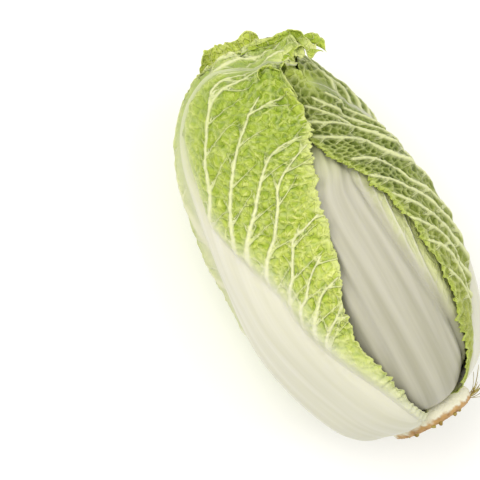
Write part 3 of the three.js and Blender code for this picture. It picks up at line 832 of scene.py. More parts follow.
@dataclass
class Leaf:
    """One leaf: its fields on the raster, and its mesh."""

    plan: LeafPlan
    layers: Layers
    start: float = 0.07  # the rise of its base
    blade: float = 0.8  # the blade's thickness, in millimetres
    blend: float = 9.0  # the strip beside the rib over which the blade's relief grows
    wall: float = 0.75  # how wide the net's veinlets are
    bed_reach: float = 9.0  # how far the rib evens out what it lies on
    # The room under a leaf, in millimetres, and the room under its margins.
    gap: Track = Track(
        ((0.07, 1.8), (0.3, 2.2), (0.45, 1.9), (0.55, 1.2), (0.68, 0.8), (0.78, 1.7), (0.88, 2.5))
    )
    margin_gap: float = 0.3
    rib_roundness: float = 0.6  # below 1, a rib is fuller towards its edges
    rib_part: float = 0.25  # the share of a leaf's half that its rib takes in its own coordinates
    rib_thickness: Track = Track(
        ((0.07, 10), (0.15, 10.5), (0.3, 9), (0.45, 7), (0.6, 5), (0.75, 3.4), (0.95, 1.8))
    )

    def __post_init__(self) -> None:
        """Gives the leaf its own noise and lines."""
        p = self.plan
        self.noise = Noise(p.seed)
        self.rib, self.halves = Track(p.rib), (Track(p.half[0]), Track(p.half[1]))
        self.left, self.right = Track(p.left), Track(p.right)

    # ---- the leaf's own coordinates

    def half(self, rise: Array, right: Array) -> Array:
        """How far the rib's edge is from its middle, in degrees."""
        return np.where(right, self.halves[1](rise), self.halves[0](rise))

    def width(self, rise: Array, right: Array) -> Array:
        """How far a margin is from the rib's middle, with its scallops.

        Args:
            rise: Rises.
            right: True for the right margin, False for the left.

        Returns:
            Degrees of turn.
        """
        e = self.plan.edge
        plain = np.where(right, self.right(rise) - self.rib(rise), self.rib(rise) - self.left(rise))
        side = np.where(right, 0.0, 50.0)
        mm = rise * self.layers.form.length
        lobes = self.noise.layered(mm / e.wave / 1.7, side, 2) * 0.9
        teeth = np.abs(self.noise.layered(mm / (e.wave / 2.6), side + 7, 3)) * 1.3 - 0.4
        bare = smoothstep(rise, self.start + 0.01, self.start + 0.12) * (1 - smoothstep(rise, 0.9, 0.935))
        radius = 1.35 * np.sin(np.pi * np.clip(rise, 0.12, 0.88))
        frill = mix(e.frill, 1.0, smoothstep(rise, 0.26, 0.42))
        return plain + e.scallop * (lobes + teeth * frill) * bare / np.maximum(radius, 0.3)

    def end(self, out: Array, right: Array) -> Array:
        """The rise of the leaf's end.

        Args:
            out: 0 at the rib's middle to 1 at the margin.
            right: True on the right side.

        Returns:
            Rises.
        """
        p = self.plan
        fall = np.where(right, p.fall[1], p.fall[0])
        signed = np.where(right, out, -out)
        lobes = self.noise.layered(signed * 9, np.full(np.shape(signed), 31.0), 3)
        ends = p.tip - fall * np.abs(out) ** 2.5 + lobes * p.edge.tip_scallop / self.layers.form.length
        return np.minimum(ends, max(p.tip, 0.985))

    def spot(
        self, in_rib: Array, across: Array, along: Array, right: bool
    ) -> tuple[Array, Array]:
        """A place on the leaf.

        Args:
            in_rib: 0 at the rib's middle to 1 at its edge.
            across: 0 at the rib's edge to 1 at the margin.
            along: 0 at the leaf's base to 1 at its end.
            right: True on the right side.

        Returns:
            Its rise and its turn.
        """
        out = self.rib_part * in_rib + (1 - self.rib_part) * across
        rise = self.start + (self.end(out, right) - self.start) * along
        half = self.half(rise, right)
        away = half * in_rib + (self.width(rise, right) - half) * across
        return rise, self.rib(rise) + (away if right else -away)

    def places(self) -> LeafPlaces:
        """Finds where each of the raster's places is on the leaf.

        Returns:
            The places.
        """
        layers = self.layers
        rise = np.broadcast_to(layers.rise, layers.height.shape)
        away = (layers.turn - self.rib(rise) + 180) % 360 - 180
        right, far = away > 0, np.abs(away)
        width, half = self.width(rise, right), self.half(rise, right)
        in_rib = np.clip(far / half, 0, 1)
        across = np.clip((far - half) / np.maximum(width - half, 1), 0, 1.2)
        out = np.clip(self.rib_part * in_rib + (1 - self.rib_part) * across, 0, 1.1)
        along = (rise - self.start) / (self.end(out, right) - self.start)
        return LeafPlaces(
            rise, right, in_rib, across, along, mm=rise * layers.form.length,
            round_mm=away * layers.mm_per_degree, blade_mm=(far - half) * layers.mm_per_degree,
        )

    def fields(self) -> LeafFields:
        """Works out the leaf's heights and marks over the raster.

        Returns:
            The fields.
        """
        p, v, layers = self.plan, self.plan.veins, self.layers
        at, veins = self.places(), self.draw_veins()
        # The blade's net, pillows and folds, which grow away from the rib and the base.
        blade_mm = np.maximum(at.blade_mm, 0)
        open_ = smoothstep(blade_mm, 0.0, self.blend)
        net = self.over_head(self.net, at)
        net_mm = np.minimum(net * v.net_cell, np.maximum(veins.away - 0.8, 0))
        wall = np.exp(-((net * v.net_cell / self.wall) ** 2))
        grown = mix(0.5, 1.0, smoothstep(at.rise, 0.22, 0.42))
        rough = open_ * mix(v.calm, 1.0, smoothstep(at.across, 0.15, 0.85)) * grown
        pillow = smoothstep(net_mm, 0.2, 0.3 * v.net_cell)
        wrinkle = self.over_head(self.wrinkles, at) * (0.7 + 0.5 * at.across**2)
        relief = v.net_height * wall + v.pillow * pillow + v.pit * (1 - pillow) + wrinkle
        emerge = smoothstep(at.blade_mm, -5.0, self.blend)
        relief = open_ * (rough * relief + 1.0) + veins.height * emerge
        # How far the relief stands over its surroundings; the finish paints highlight on it and shade where
        # it is low.
        hollow = relief - layers.smooth(relief, 2.6)
        relief += open_ * v.swell * (self.over_head(self.swell, at) + 1) / 2

        # The rib under it, solid as far as the crown.
        round_off = np.clip(1 - at.in_rib**2, 0, 1) ** self.rib_roundness
        rib_thick = np.maximum(p.rib_share * self.rib_thickness(at.rise) - self.blade, 0) * round_off
        ridges = self.rib_ridges(at) * (1 - smoothstep(blade_mm, 0, 6))
        relief += ridges * smoothstep(at.along, 0.02, 0.25)

        # Both faces over what the leaf lies on.
        base = layers.drape(mix(self.gap(at.rise), self.margin_gap, smoothstep(at.across, 0.6, 1.0)))
        base = layers.smooth(np.maximum(base, Track(p.bridge)(at.rise)), 2.0) if p.bridge else base
        thick = smoothstep(round_off, 0.0, 0.6) * (1 - smoothstep(at.rise, *CROWN))
        bedded = mix(base, layers.smooth(base, self.bed_reach), thick)
        top = bedded + self.blade + rib_thick + relief + self.lift(at)
        beside = smoothstep(blade_mm, 0.0, 5.0) * (1 - smoothstep(at.across, 0.25, 0.75)) * at.right
        bed = top + Track(p.shoulder)(at.rise) * beside
        lean = np.where(at.right, p.tip_flare[1], p.tip_flare[0]) * smoothstep(at.across, 0.22, 0.48)
        top = bed + lean * (1 - smoothstep(at.across, 0.68, 0.82)) * smoothstep(at.rise, 0.765, 0.84)
        under = np.minimum(mix(top - self.blade, base, thick), top - self.blade)
        where = (at.across <= 1) & (at.along >= 0) & (at.along <= 1)
        return LeafFields(where, top, bed, under, self.marks(at, veins, rough, wall, hollow))

    def marks(
        self, at: LeafPlaces, veins: VeinMap, rough: Array, wall: Array, hollow: Array
    ) -> dict[str, Array]:
        """Works out what the finish reads at each place.

        Args:
            at: The places.
            veins: The leaf's veins.
            rough: How crinkled the blade is, from 0 to 1.
            wall: 1 on the net of veinlets, falling to 0 beside it.
            hollow: How far the relief stands over its surroundings, in millimetres.

        Returns:
            Each mark's values by its name.
        """
        v = self.plan.veins
        blade_mm = np.maximum(at.blade_mm, 0)
        streak = self.noise.layered(at.round_mm / 5 - at.mm / 16, at.mm / 30, 3)
        high_up = smoothstep(at.rise, 0.6, 0.85)
        white = np.clip(1 - blade_mm / (v.white * (1 + 0.35 * streak)), 0, 1) ** 1.5 * (1 - 0.85 * high_up)
        return {
            "rib": np.where(at.in_rib < 1, 1.0 - 0.45 * high_up, white),
            "vein": np.clip(v.net_pale * rough * wall, 0, 1),
            "line": np.clip(veins.line, -4, 4),
            "near": np.clip(veins.near, 0, 4),
            "bold": veins.bold * smoothstep(blade_mm, 0.0, 3.0) * (1 - 0.2 * high_up),
            "rough": rough,
            "green": smoothstep(at.rise, *v.greens),
            # high paints highlight on the relief's crests and shade in its hollows.
            "high": np.clip(0.5 + hollow * v.contrast, 0, 1),
            "edge": np.maximum(smoothstep(at.across, 0.9, 1.0), smoothstep(at.along, 0.96, 1.0)),
        }

    def over_head(self, pattern: Pattern, at: LeafPlaces) -> Array:
        """Draws a pattern on the unrolled side, and on the crown as it is seen from its end.

        Args:
            pattern: Gives its value at places in millimetres.
            at: The places.

        Returns:
            Its values over the raster.
        """
        first = int((CROWN[0] - 0.01) * self.layers.rows)
        rise, turn = self.layers.rise[first:], np.radians(self.layers.turn)
        left = (1 - rise) * self.layers.form.length
        drawn = pattern(at.mm, at.round_mm)
        # The crown reads the pattern 400 mm away, past what the side has used.
        crown = pattern(400 + left * np.cos(turn), left * np.sin(turn))
        drawn[first:] = mix(drawn[first:], crown, smoothstep(rise, *CROWN))
        return drawn

    def swell(self, x: Array, y: Array) -> Array:
        """The broad swellings of the blade, from -1 to 1."""
        return self.noise.layered(x / 26 + 5, y / 17, 2)

    def net(self, x: Array, y: Array) -> Array:
        """The distance from the walls of the veinlets' net, in cells."""
        cell, wander = self.plan.veins.net_cell, self.noise.layered(x / 13, y / 13, 3) * 0.6
        return self.noise.cells(y / cell + wander, x / cell * 0.85 + 40 - wander)

    def wrinkles(self, x: Array, y: Array) -> Array:
        """The height of the folds and creases between the veins.

        Args:
            x: Millimetres along the head.
            y: Millimetres around it.

        Returns:
            Heights in millimetres.
        """
        v, n = self.plan.veins, self.noise
        slant, wander = x + 0.6 * y, n.layered(x / 13, y / 13, 3) * 0.6
        folds = n.layered(slant / v.fold_size + wander, (y - 0.4 * x) / v.fold_size / 1.8, 2)
        creases = n.layered(slant / 3.2 + 50, y / 4.6 + wander, 2)
        return v.fold_height * (1 - 2 * np.abs(folds)) + v.crease_height * (1 - 2 * np.abs(creases))

    def rib_ridges(self, at: LeafPlaces) -> Array:
        """The long ridges on the rib.

        Args:
            at: The places.

        Returns:
            Their heights in millimetres.
        """
        r, n = self.plan.ridges, self.noise
        # The ridges run together as the rib narrows, so their places follow its width.
        narrow = self.half(at.mm / self.layers.form.length, at.round_mm > 0)
        widest = max(p[1] for p in self.plan.half[0])
        wander = r.wander * n.smooth(at.mm / 110, np.full(at.mm.shape, 3.0))
        place = at.round_mm / (0.4 + 0.6 * narrow / widest) + wander
        phase = place / r.room + 0.3 * n.smooth(place / r.room / 2.1, at.mm / 220)
        uneven = 0.6 + 0.5 * n.smooth(place / r.room * 0.9 + 9, at.mm / 160)
        wave = (0.5 + 0.5 * np.cos(2 * np.pi * phase)) * uneven
        streaks = n.layered(place / 2.6 + 60, at.mm / 170, 2)
        return r.height * wave + r.wear * 0.3 * (streaks + 1)

    def draw_veins(self) -> VeinMap:
        """Draws the side veins and their branches.

        Returns:
            The vein map.
        """
        p, v, form = self.plan, self.plan.veins, self.layers.form
        random = np.random.default_rng(p.seed + 100)
        veins = VeinMap(self.layers)
        main: list[Array] = []
        for right, given in ((False, v.left), (True, v.right)):
            if given:
                main += [veins.smooth_path(path) for path in given]
                continue
            share = v.spacing / form.length
            root = -0.35 + share * random.random()
            while root < 0.93:
                u = np.linspace(0, 1, 13)
                in_rib, across = np.minimum(0.55 + 1.8 * u, 1), np.clip((u - 0.2) / 0.8, 0, 1) * 0.97
                climb = v.climb * across**v.bend
                wiggle = 0.01 * self.noise.smooth(u * 4, np.full(13, root * 50))
                along = root * (1 - climb) + climb - 0.25 * (1 - in_rib) * (1 - root) + wiggle
                keep = (along > 0.05) & (along < 0.985)
                if keep.sum() > 3:
                    rise, turn = self.spot(in_rib[keep], across[keep], along[keep], right)
                    main.append(np.stack([rise, turn], -1))
                root += share * (0.7 + 0.6 * random.random()) * (1.1 - 0.4 * max(root, 0))
        for path in main:
            strong = 0.85 + 0.3 * random.random()
            # A vein that starts on another vein, not at the rib, is slimmer.
            rise, away = path[0][0], path[0][1] - self.rib(path[0][0])
            rooted = abs(away) < 1.15 * self.half(rise, away > 0) + 10
            wide = v.width * strong * (1 if rooted else 0.55)
            veins.draw(path, (v.height * strong, v.height * 0.4), (1.5 * wide, v.width * v.slim), (1, 0.8))
            self._branches(veins, path, random, 1)
        return veins

    def _branches(self, veins: VeinMap, path: Array, random: np.random.Generator, level: int) -> None:
        """Draws the branches of a vein, and their own.

        Args:
            veins: The map to draw on.
            path: The vein.
            random: The leaf's random numbers.
            level: 1 for a side vein's branches, 2 for theirs.
        """
        v = self.plan.veins
        steps = np.array([(b - a) * veins.scale(*a) for a, b in zip(path, path[1:])])
        along = np.r_[0, np.cumsum(np.hypot(*steps.T))]
        margin = 1 if path[-1][1] > self.rib(path[-1][0]) else -1
        spacing, long = (v.branch_spacing, v.branch_length) if level == 1 else (v.twig_spacing, v.twig_length)
        place, side = spacing * (0.5 + random.random()), margin
        while place < along[-1] - 2:
            k = min(int(np.searchsorted(along, place)) - 1, len(steps) - 1)
            share = (place - along[k]) / max(along[k + 1] - along[k], 1e-6)
            start, left = mix(path[k], path[k + 1], share), 1 - place / along[-1]
            open_ = math.radians(v.branch_angle + 14 * (random.random() - 0.5) + 12 * (level - 1))
            angle = math.atan2(steps[k][1], steps[k][0]) + side * open_
            outward = side == margin
            length = long * (0.6 + 0.5 * random.random()) * (0.6 + 0.5 * left) * (1 if outward else v.inward)
            curl = (0.5 - random.random()) * 0.7 * side
            twig = veins.branch(start, np.array([math.cos(angle), math.sin(angle)]), length, curl)
            size = v.height * (0.2 + 0.16 * left) / level
            wide, bold = v.width * (0.62 if level == 1 else 0.4), (0.66 if level == 1 else 0.26)
            veins.draw(twig, (size, size * 0.4), (wide, wide * 0.55), (bold, bold * 0.45))
            if level == 1:
                self._branches(veins, twig, random, 2)
            side = -side
            place += spacing * (0.35 + 0.5 * random.random())

    def lift(self, at: LeafPlaces) -> Array:
        """How far the margins and the tip stand off what is under them.

        Args:
            at: The places.

        Returns:
            Heights in millimetres.
        """
        e, n, long = self.plan.edge, self.noise, self.plan.edge.wave
        near_side = smoothstep(at.across, 1 - e.reach, 1.0)
        near_tip = smoothstep(at.along, 0.88, 1.0)
        side_lift = np.where(at.right, e.lift[1], e.lift[0])
        side_ruffle = np.where(at.right, e.ruffle[1], e.ruffle[0])
        bare = smoothstep(at.rise, self.start + 0.02, self.start + 0.14)
        bare = bare * mix(0.4, 1.0, smoothstep(at.rise, 0.32, 0.5))
        wave = self.over_head(lambda x, y: n.layered(x / long / 1.1, y / long / 3 + 70, 3), at)
        side = near_side * bare * (side_lift * (0.75 + 0.35 * wave) + side_ruffle * (wave + 0.6))
        tip_wave = self.over_head(lambda x, y: n.layered(y / (0.7 * long) + 33, x / 14, 3), at)
        tip = near_tip * (e.lift[2] + e.ruffle[2] * (tip_wave + 0.6))
        inner = 1 - smoothstep(at.across, np.where(at.right, 0.3, 1 - e.reach), np.where(at.right, 0.95, 1.0))
        return np.maximum(side + tip, 0) + Track(self.plan.stand)(at.rise) * inner

    # ---- the mesh

    def grid(self) -> tuple[Array, Array]:
        """The rise and turn of each of the mesh's places.

        Returns:
            Two arrays with a row for each step along the leaf and a column for each across it.
        """
        left, rib, right = self.plan.columns
        steps = np.linspace(0, 1, self.plan.rows + 1)[:, None]
        sides = []
        for count, is_right in ((left, False), (right, True)):
            in_rib = np.r_[np.linspace(0, 1, rib // 2 + 1), np.ones(count)]
            across = np.r_[np.zeros(rib // 2 + 1), np.linspace(0, 1, count + 1)[1:]]
            sides.append(self.spot(in_rib[None, :], across[None, :], steps, is_right))
        (left_rise, left_turn), (right_rise, right_turn) = sides
        return np.hstack([left_rise[:, :0:-1], right_rise]), np.hstack([left_turn[:, :0:-1], right_turn])

    def build(self, fields: LeafFields) -> Piece:
        """Lays the leaf on the layers and makes its mesh.

        Args:
            fields: Its heights and marks.

        Returns:
            The leaf's object.
        """
        self.layers.lay(fields.where, fields.bed)
        rise, turn = self.grid()
        read = partial(self.layers.read, rise=rise, turn=turn)
        top = self.layers.form.place(rise, turn, read(fields.top))
        under = self.layers.form.place(rise, turn, read(fields.under))
        marks = {name: read(values) for name, values in fields.marks.items()}
        away = (turn - self.rib(rise)) * read(self.layers.mm_per_degree)
        flat = np.stack([away, rise * self.layers.form.length, 60.0 * self.plan.seed + 0 * rise], -1)
        return sheet(self.plan.name + "_blade", top, under, marks, flat)


@dataclass
class Rim:
    """A frill's mesh."""

    frill: Frill
    layers: Layers
    top: Array  # the outer face of its leaf

    def build(self) -> Piece:
        """Stands the ribbon on its line and ruffles it.

        Returns:
            The frill's object.
        """
        f, form, noise = self.frill, self.layers.form, Noise(self.frill.seed)
        path = VeinMap(self.layers).smooth_path(f.line, 12)
        places = form.place(path[:, 0], path[:, 1], np.zeros(len(path))) / MM
        far = np.r_[0, np.cumsum(np.linalg.norm(np.diff(places, axis=0), axis=-1))]
        s = np.linspace(0, far[-1], f.steps[0] + 1)
        rise, turn = np.interp(s, far, path[:, 0]), np.interp(s, far, path[:, 1])
        height = self.layers.read(self.layers.smooth(self.top, 2.5), rise, turn) - f.sink
        base = form.place(rise, turn, height) / MM
        along = self.unit(np.gradient(base, axis=0))
        to_crown = self.unit(form.place(rise + 0.002, turn, height) - form.place(rise - 0.002, turn, height))
        around = self.unit(form.place(rise, turn + 0.5, height) - form.place(rise, turn - 0.5, height))
        outwards = self.unit(form.place(rise, turn, height + 1) - form.place(rise, turn, height))
        way = f.lean[0] * to_crown + f.lean[1] * around + f.lean[2] * outwards
        way = self.unit(way - (way * along).sum(-1, keepdims=True) * along)
        side = np.cross(along, way)
        side *= np.sign((side * outwards).sum(-1, keepdims=True) + 1e-9)

        s, t = s[:, None], np.linspace(0, 1, f.steps[1] + 1)[None, :]
        ends = smoothstep(s, 0, 7) * smoothstep(far[-1] - s, 0, 7)
        teeth = np.abs(noise.layered(s / 4, 8.0, 2))
        lobes = 0.75 + 0.6 * noise.layered(s / f.wave / 1.3, 3.0, 2) + 0.25 * teeth
        reach = f.reach * np.clip(lobes, 0.3, 1.5) * ends * t
        sway = noise.layered(s / f.wave + 0.5 * t + 5, 0.8 * t, 2) * 1.7 * f.ruffle * t**1.2 * ends
        drift = noise.layered(s / f.wave + 40, 0.8 * t, 2) * 0.8 * f.ruffle * t * ends
        crinkle = noise.layered(s / 4.5 + 20, reach / 4.5, 2) * 0.7 * smoothstep(t, 0, 0.3) * ends
        bend = f.curl * f.reach * t**2.2 * ends * (0.5 + 0.5 * noise.layered(s / f.wave / 1.5, 60.0, 2))
        parts = ((way, reach), (side, sway + crinkle - bend), (along, drift))
        top = base[:, None, :] + sum(axis[:, None, :] * size[..., None] for axis, size in parts)
        normal = self.unit(np.cross(np.gradient(top, axis=0), np.gradient(top, axis=1)) + 1e-9)
        under = top - 0.6 * normal
        vein = (s + 2.5 * noise.smooth(s / 9, 2 * t + 80)) / 7
        ratio = (vein - np.rint(vein)) * 7 / (0.55 * (1.3 - 0.8 * t))
        one = np.ones_like(crinkle)
        # The high mark paints highlight and shade by the crinkle, and lightens the whole frill by its light.
        marks = {
            "rib": 0 * one, "vein": 0 * one, "line": np.clip(ratio, -4, 4) * one,
            "near": np.clip(np.abs(ratio), 0, 4) * one, "bold": 0.4 * (1 - 0.5 * t) * one, "rough": one,
            "green": f.green * (1 - 0.6 * t) * one, "high": np.clip(0.5 + f.light + 0.5 * crinkle, 0, 1),
            "edge": 0.7 * smoothstep(t, 0.75, 1.0) * one,
        }
        flat = np.stack([s * one, reach * one, 60.0 * f.seed + 0 * one], -1)
        return sheet(f.name, top * MM, under * MM, marks, flat)

    @staticmethod
    def unit(v: Array) -> Array:
        """Makes each vector one long."""
        return v / np.maximum(np.linalg.norm(v, axis=-1, keepdims=True), 1e-9)


def sheet(
    name: str, top: Array, under: Array, marks: dict[str, Array], flat: Array
) -> Piece:
    """Makes a closed sheet between an outer and an inner face.

    Args:
        name: The object's name.
        top: The outer face's points, by row and column, in metres.
        under: The inner face's points.
        marks: Numbers from 0 to 1 at each point, stored as attributes for the finish.
        flat: Each point's place on the flattened leaf, in millimetres, stored the same way.

    Returns:
        The sheet's object.
    """
    rows, columns = top.shape[:2]
    steps = {"x_subdivisions": columns - 1, "y_subdivisions": rows - 1}
    piece = start_piece(name, bpy.ops.mesh.primitive_grid_add, size=1, **steps)
    places = vertices(piece)
    column = np.rint((places[:, 0] + 0.5) * (columns - 1)).astype(int)
    row = np.rint((places[:, 1] + 0.5) * (rows - 1)).astype(int)
    reshape(piece, top[row, column])
    for name_, values in marks.items():
        mark(piece, name_, values[row, column])
    mark_vector(piece, "flat", flat[row, column])
    solid = piece.modifiers.new("blade_thickness", "SOLIDIFY")
    solid.thickness = MM
    solid.offset = -1
    bpy.ops.object.modifier_apply(modifier=solid.name)
    reshape(piece, np.vstack([top[row, column], under[row, column]]))
    return face_out(piece)


def face_out(piece: Piece) -> Piece:
    """Turns a closed piece's faces outwards and shades it smooth.

    Args:
        piece: The piece.

    Returns:
        The same piece.
    """
    mesh = piece.data
    mesh.update()
    middles = np.zeros(len(mesh.polygons) * 3)
    normals, areas = np.zeros_like(middles), np.zeros(len(mesh.polygons))
    mesh.polygons.foreach_get("center", middles)
    mesh.polygons.foreach_get("normal", normals)
    mesh.polygons.foreach_get("area", areas)
    if (middles.reshape(-1, 3) * normals.reshape(-1, 3)).sum(axis=1) @ areas < 0:
        mesh.flip_normals()
    mesh.shade_smooth()
    return piece


# -------------------- the heart and the stem


@dataclass
class Heart:
    """The dense core of small leaves, whose edges wind up it as folds."""

    layers: Layers
    # How far it lies under the nominal surface, in millimetres.
    depth: Track = Track(
        ((0, 30), (0.1, 28), (0.2, 26), (0.3, 23.5), (0.5, 17), (0.7, 15.5), (0.85, 22.5), (1, 26))
    )
    seed: int = 21
    folds: int = 5
    fold_height: float = 2.2
    twist: float = 1.6  # how many folds they wind past on their way to the crown
    bulge: float = 4.5  # how much further out it goes at bulge_turn, in millimetres
    bulge_turn: float = -95
    rings: int = 150
    segments: int = 220

    def height(self, rise: Array, turn: Array) -> tuple[Array, Array]:
        """The heart's surface.

        Args:
            rise: Rises.
            turn: Turns in degrees.

        Returns:
            Its heights, and where it lies in each fold, from 0 to 1.
        """
        noise = Noise(self.seed)
        middle = np.sin(np.pi * rise)
        lean = smoothstep(rise, 0.45, 0.7) * middle * self.bulge * np.cos(np.radians(turn - self.bulge_turn))
        around = turn / 360
        ragged = 0.05 * noise.layered(rise * 16, 6 * np.sin(2 * np.pi * around), 3)
        wind = self.folds * around + self.twist * rise + ragged
        share = wind - np.floor(wind)
        rib = 0.6 * np.cos(2 * np.pi * share * 7) * (1 - rise) * middle
        sine, cosine = np.sin(2 * np.pi * around), np.cos(2 * np.pi * around)
        crumple = noise.layered(rise * 26 + 3 * sine, 5 * cosine + 7 * rise, 3) * 0.7 * middle
        return lean - self.depth(rise) - self.fold_height * middle * share + rib + crumple, share

    def build(self) -> Piece:
        """Lays the heart down as the first layer and makes its mesh.

        Returns:
            The heart's object.
        """
        everywhere = np.ones(self.layers.height.shape, bool)
        rise = np.broadcast_to(self.layers.rise, everywhere.shape)
        turn = np.broadcast_to(self.layers.turn, everywhere.shape)
        self.layers.lay(everywhere, self.height(rise, turn)[0])
        piece, rise, turn = start_ball("heart_folds", self.segments, self.rings)
        turn = turn % 360
        height, share = self.height(rise, turn)
        reshape(piece, self.layers.form.place(rise, turn, height))
        mark(piece, "fresh", smoothstep(rise, 0.35, 0.85))
        mark(piece, "fold", share)
        mark_vector(piece, "flat", np.stack([turn, rise * self.layers.form.length, 0 * rise], -1))
        return face_out(piece)


@dataclass
class Stem:
    """The cut stem: its cone, the stubs of its roots and the threads that hang from its edge."""

    form: HeadForm
    slope: float = 24 / 70  # the cone's, from the start of the spine to the rim of the cut
    gap: float = 0.6  # the room between it and the leaves, in millimetres
    depth: float = 34  # how far the cone goes behind its cut, in millimetres
    rings: int = 96
    segments: int = 160
    stubs: int = 16
    threads: int = 13
    thread_turn: float = 88  # the turn that the threads hang about
    seeds: tuple[int, int, int, int] = (31, 33, 35, 41)  # the core's, stubs', threads' and bars'

    def radius(self, depth: Array) -> Array:
        """The cone's radius at a distance behind its cut, in millimetres."""
        return self.slope * (self.form.spine[0] - depth) - self.gap

    def place(self, depth: Array, radius: Array, turn: Array) -> Array:
        """A point by its distance behind the cut, its distance from the axis and its turn.

        Args:
            depth: Millimetres behind the cut.
            radius: Millimetres from the axis.
            turn: Degrees.

        Returns:
            Points in metres, in the frame.
        """
        around = np.radians(np.asarray(turn, float) - self.form.top_turn)
        depth, radius, around = np.broadcast_arrays(np.asarray(depth, float), radius, around)
        up = self.form.axis_height + radius * np.cos(around)
        x, y = depth - self.form.mid_length, -radius * np.sin(around) - self.form.mid_width
        return np.stack([x, y, np.maximum(up, 0)], -1) * MM

    def core(self) -> Piece:
        """The cone with its rough cut face.

        Returns:
            Its object.
        """
        noise = Noise(self.seeds[0])
        piece, share, turn = start_ball("stem_core", self.segments, self.rings)
        sine, cosine = np.sin(np.radians(turn)), np.cos(np.radians(turn))
        # From the cut's middle over its rim, where the flesh flares, and down the cone.
        depth = Track((
            (0, 0), (0.42, 0), (0.47, 0.5), (0.53, 3), (0.6, 7), (0.66, 12),
            (0.96, self.depth), (1, self.depth),
        ))(share)
        out = Track((
            (0, 0), (0.42, 0.97), (0.47, 1.03), (0.53, 1.14), (0.6, 1.25), (0.66, 1.27), (0.75, 1),
            (0.96, 1), (1, 0),
        ))(share)
        head = self.radius(np.minimum(depth, 16))
        wide = head * mix(1, self.radius(depth) / head, smoothstep(share, 0.66, 0.8))
        face = 1 - smoothstep(share, 0.4, 0.5)
        rim = np.exp(-(((share - 0.46) / 0.05) ** 2))
        chips = noise.layered(11 * sine + 4, 11 * cosine + 4 + depth * 0.3, 4)
        torn = noise.layered(turn / 5, depth / 3 + 8 * sine, 3)
        grain = noise.layered(30 * sine * out + 9, 30 * cosine * out + 9, 3)
        side = smoothstep(share, 0.44, 0.5) * (1 - smoothstep(share, 0.6, 0.7))
        wide = wide * out + rim * 1.3 * (chips - 0.6) + side * 0.8 * torn
        dried = depth + 2.2 * torn + 1.6 * chips
        depth = depth + rim * (1.0 + chips) * 1.1 + face * (0.5 * grain + 0.55)
        reshape(piece, self.place(depth, wide, turn))
        mark(piece, "cut", 1 - smoothstep(dried, 3.5, 6.5))
        rings = face * (0.5 + 0.5 * np.cos(out * 26)) * 0.5
        mark(piece, "ring", np.clip(rings + (1 - face) * (0.45 + 0.8 * torn), 0, 1))
        return face_out(piece)

    def bars(
        self, name: str, paths: list[Array], radii: list[float], taper: float, lumpy: float
    ) -> Piece:
        """Thin round bars along curves, made a mesh.

        Args:
            name: The object's name.
            paths: Each bar's points, in metres.
            radii: Each bar's radius in millimetres.
            taper: How thin a bar is at its end, as a share.
            lumpy: How far bars' radii vary along them, as a share.

        Returns:
            One object of all the bars.
        """
        noise = Noise(self.seeds[3])
        curve = bpy.data.curves.new(name, "CURVE")
        curve.dimensions, curve.bevel_depth, curve.bevel_resolution = "3D", MM, 2
        curve.use_fill_caps, curve.resolution_u, curve.render_resolution_u = True, 4, 4
        for k, (points, radius) in enumerate(zip(paths, radii)):
            spline = curve.splines.new("NURBS")
            spline.points.add(len(points) - 1)
            spline.order_u, spline.use_endpoint_u = 4, True
            along = np.linspace(0, 1, len(points))
            lumps = 1 + lumpy * noise.smooth(along * 5, np.full(len(points), 7.0 * k))
            for point, place, size in zip(spline.points, points, radius * mix(1, taper, along) * lumps):
                point.co, point.radius = (*place, 1), float(size)
        piece = bpy.data.objects.new(name, curve)
        bpy.context.collection.objects.link(piece)
        bpy.ops.object.select_all(action="DESELECT")
        piece.select_set(True)
        bpy.context.view_layer.objects.active = piece
        bpy.ops.object.convert(target="MESH")
        return face_out(piece)

    def roots(self) -> Piece:
        """The stubs of the cut roots round the stem's edge.

        Returns:
            One object of all the stubs.
        """
        random = np.random.default_rng(self.seeds[1])
        paths, radii = [], []
        for k in range(self.stubs):
            turn = 360 * (k + 0.7 * random.random()) / self.stubs
            size = 1.2 + 1.3 * random.random()
            out = self.radius(2) - size * 0.6
            long = 2.2 + 2.6 * random.random()
            tip = turn + 14 * (random.random() - 0.5)
            paths.append(np.array([
                self.place(5, out - 2, turn), self.place(3, out - 0.6, turn),
                self.place(4 - long * 0.8, out + 0.6, (turn + tip) / 2), self.place(4 - long, out + 1.2, tip),
            ]))
            radii.append(size)
        return self.bars("root_stubs", paths, radii, 0.75, 0.3)

    def fibres(self) -> Piece:
        """The dried threads that hang from the stem's edge.

        Returns:
            One object of all the threads.
        """
        random = np.random.default_rng(self.seeds[2])
        paths, radii = [], []
        for k in range(self.threads):
            turn = self.thread_turn + 34 * (random.random() - 0.5)
            bend, reach = random.random() - 0.35, 16 * (0.45 + 0.55 * random.random())
            back = 20 * random.random() - 4  # how far it trails along the head
            wander = 1.6 * (random.random((4, 2)) - 0.5)
            rim = self.radius(1)
            # Each stop's depth, radius and share of the bend, from its root in the flesh.
            stops = (
                (6, self.radius(6) - 2, 0), (3, rim + 2.2, 3), (3 + 0.3 * back, rim + 3 + 0.4 * reach, 9),
                (4 + 0.75 * back, rim + 4 + 0.75 * reach, 15), (4 + back, rim + 4 + reach, 24),
            )
            path = [self.place(*stops[0][:2], turn)]
            for (depth, out, swing), (a, b) in zip(stops[1:], wander):
                path.append(self.place(depth + 1.6 * a, out + b, turn + swing * bend))
            paths.append(np.array(path))
            radii.append(0.24 + 0.2 * random.random())
        return self.bars("root_threads", paths, radii, 0.45, 0.5)


# -------------------- mesh helpers


def start_piece(name: str, add: Callable[..., set[str]], **sizes: float) -> Piece:
    """Adds a primitive, with nothing else selected.

    Args:
        name: Its name.
        add: The operator that adds it.
        **sizes: The operator's settings.

    Returns:
        The new object, selected and active.
    """
    bpy.ops.object.select_all(action="DESELECT")
    add(**sizes)
    piece = bpy.context.object
    piece.name = piece.data.name = name
    return piece


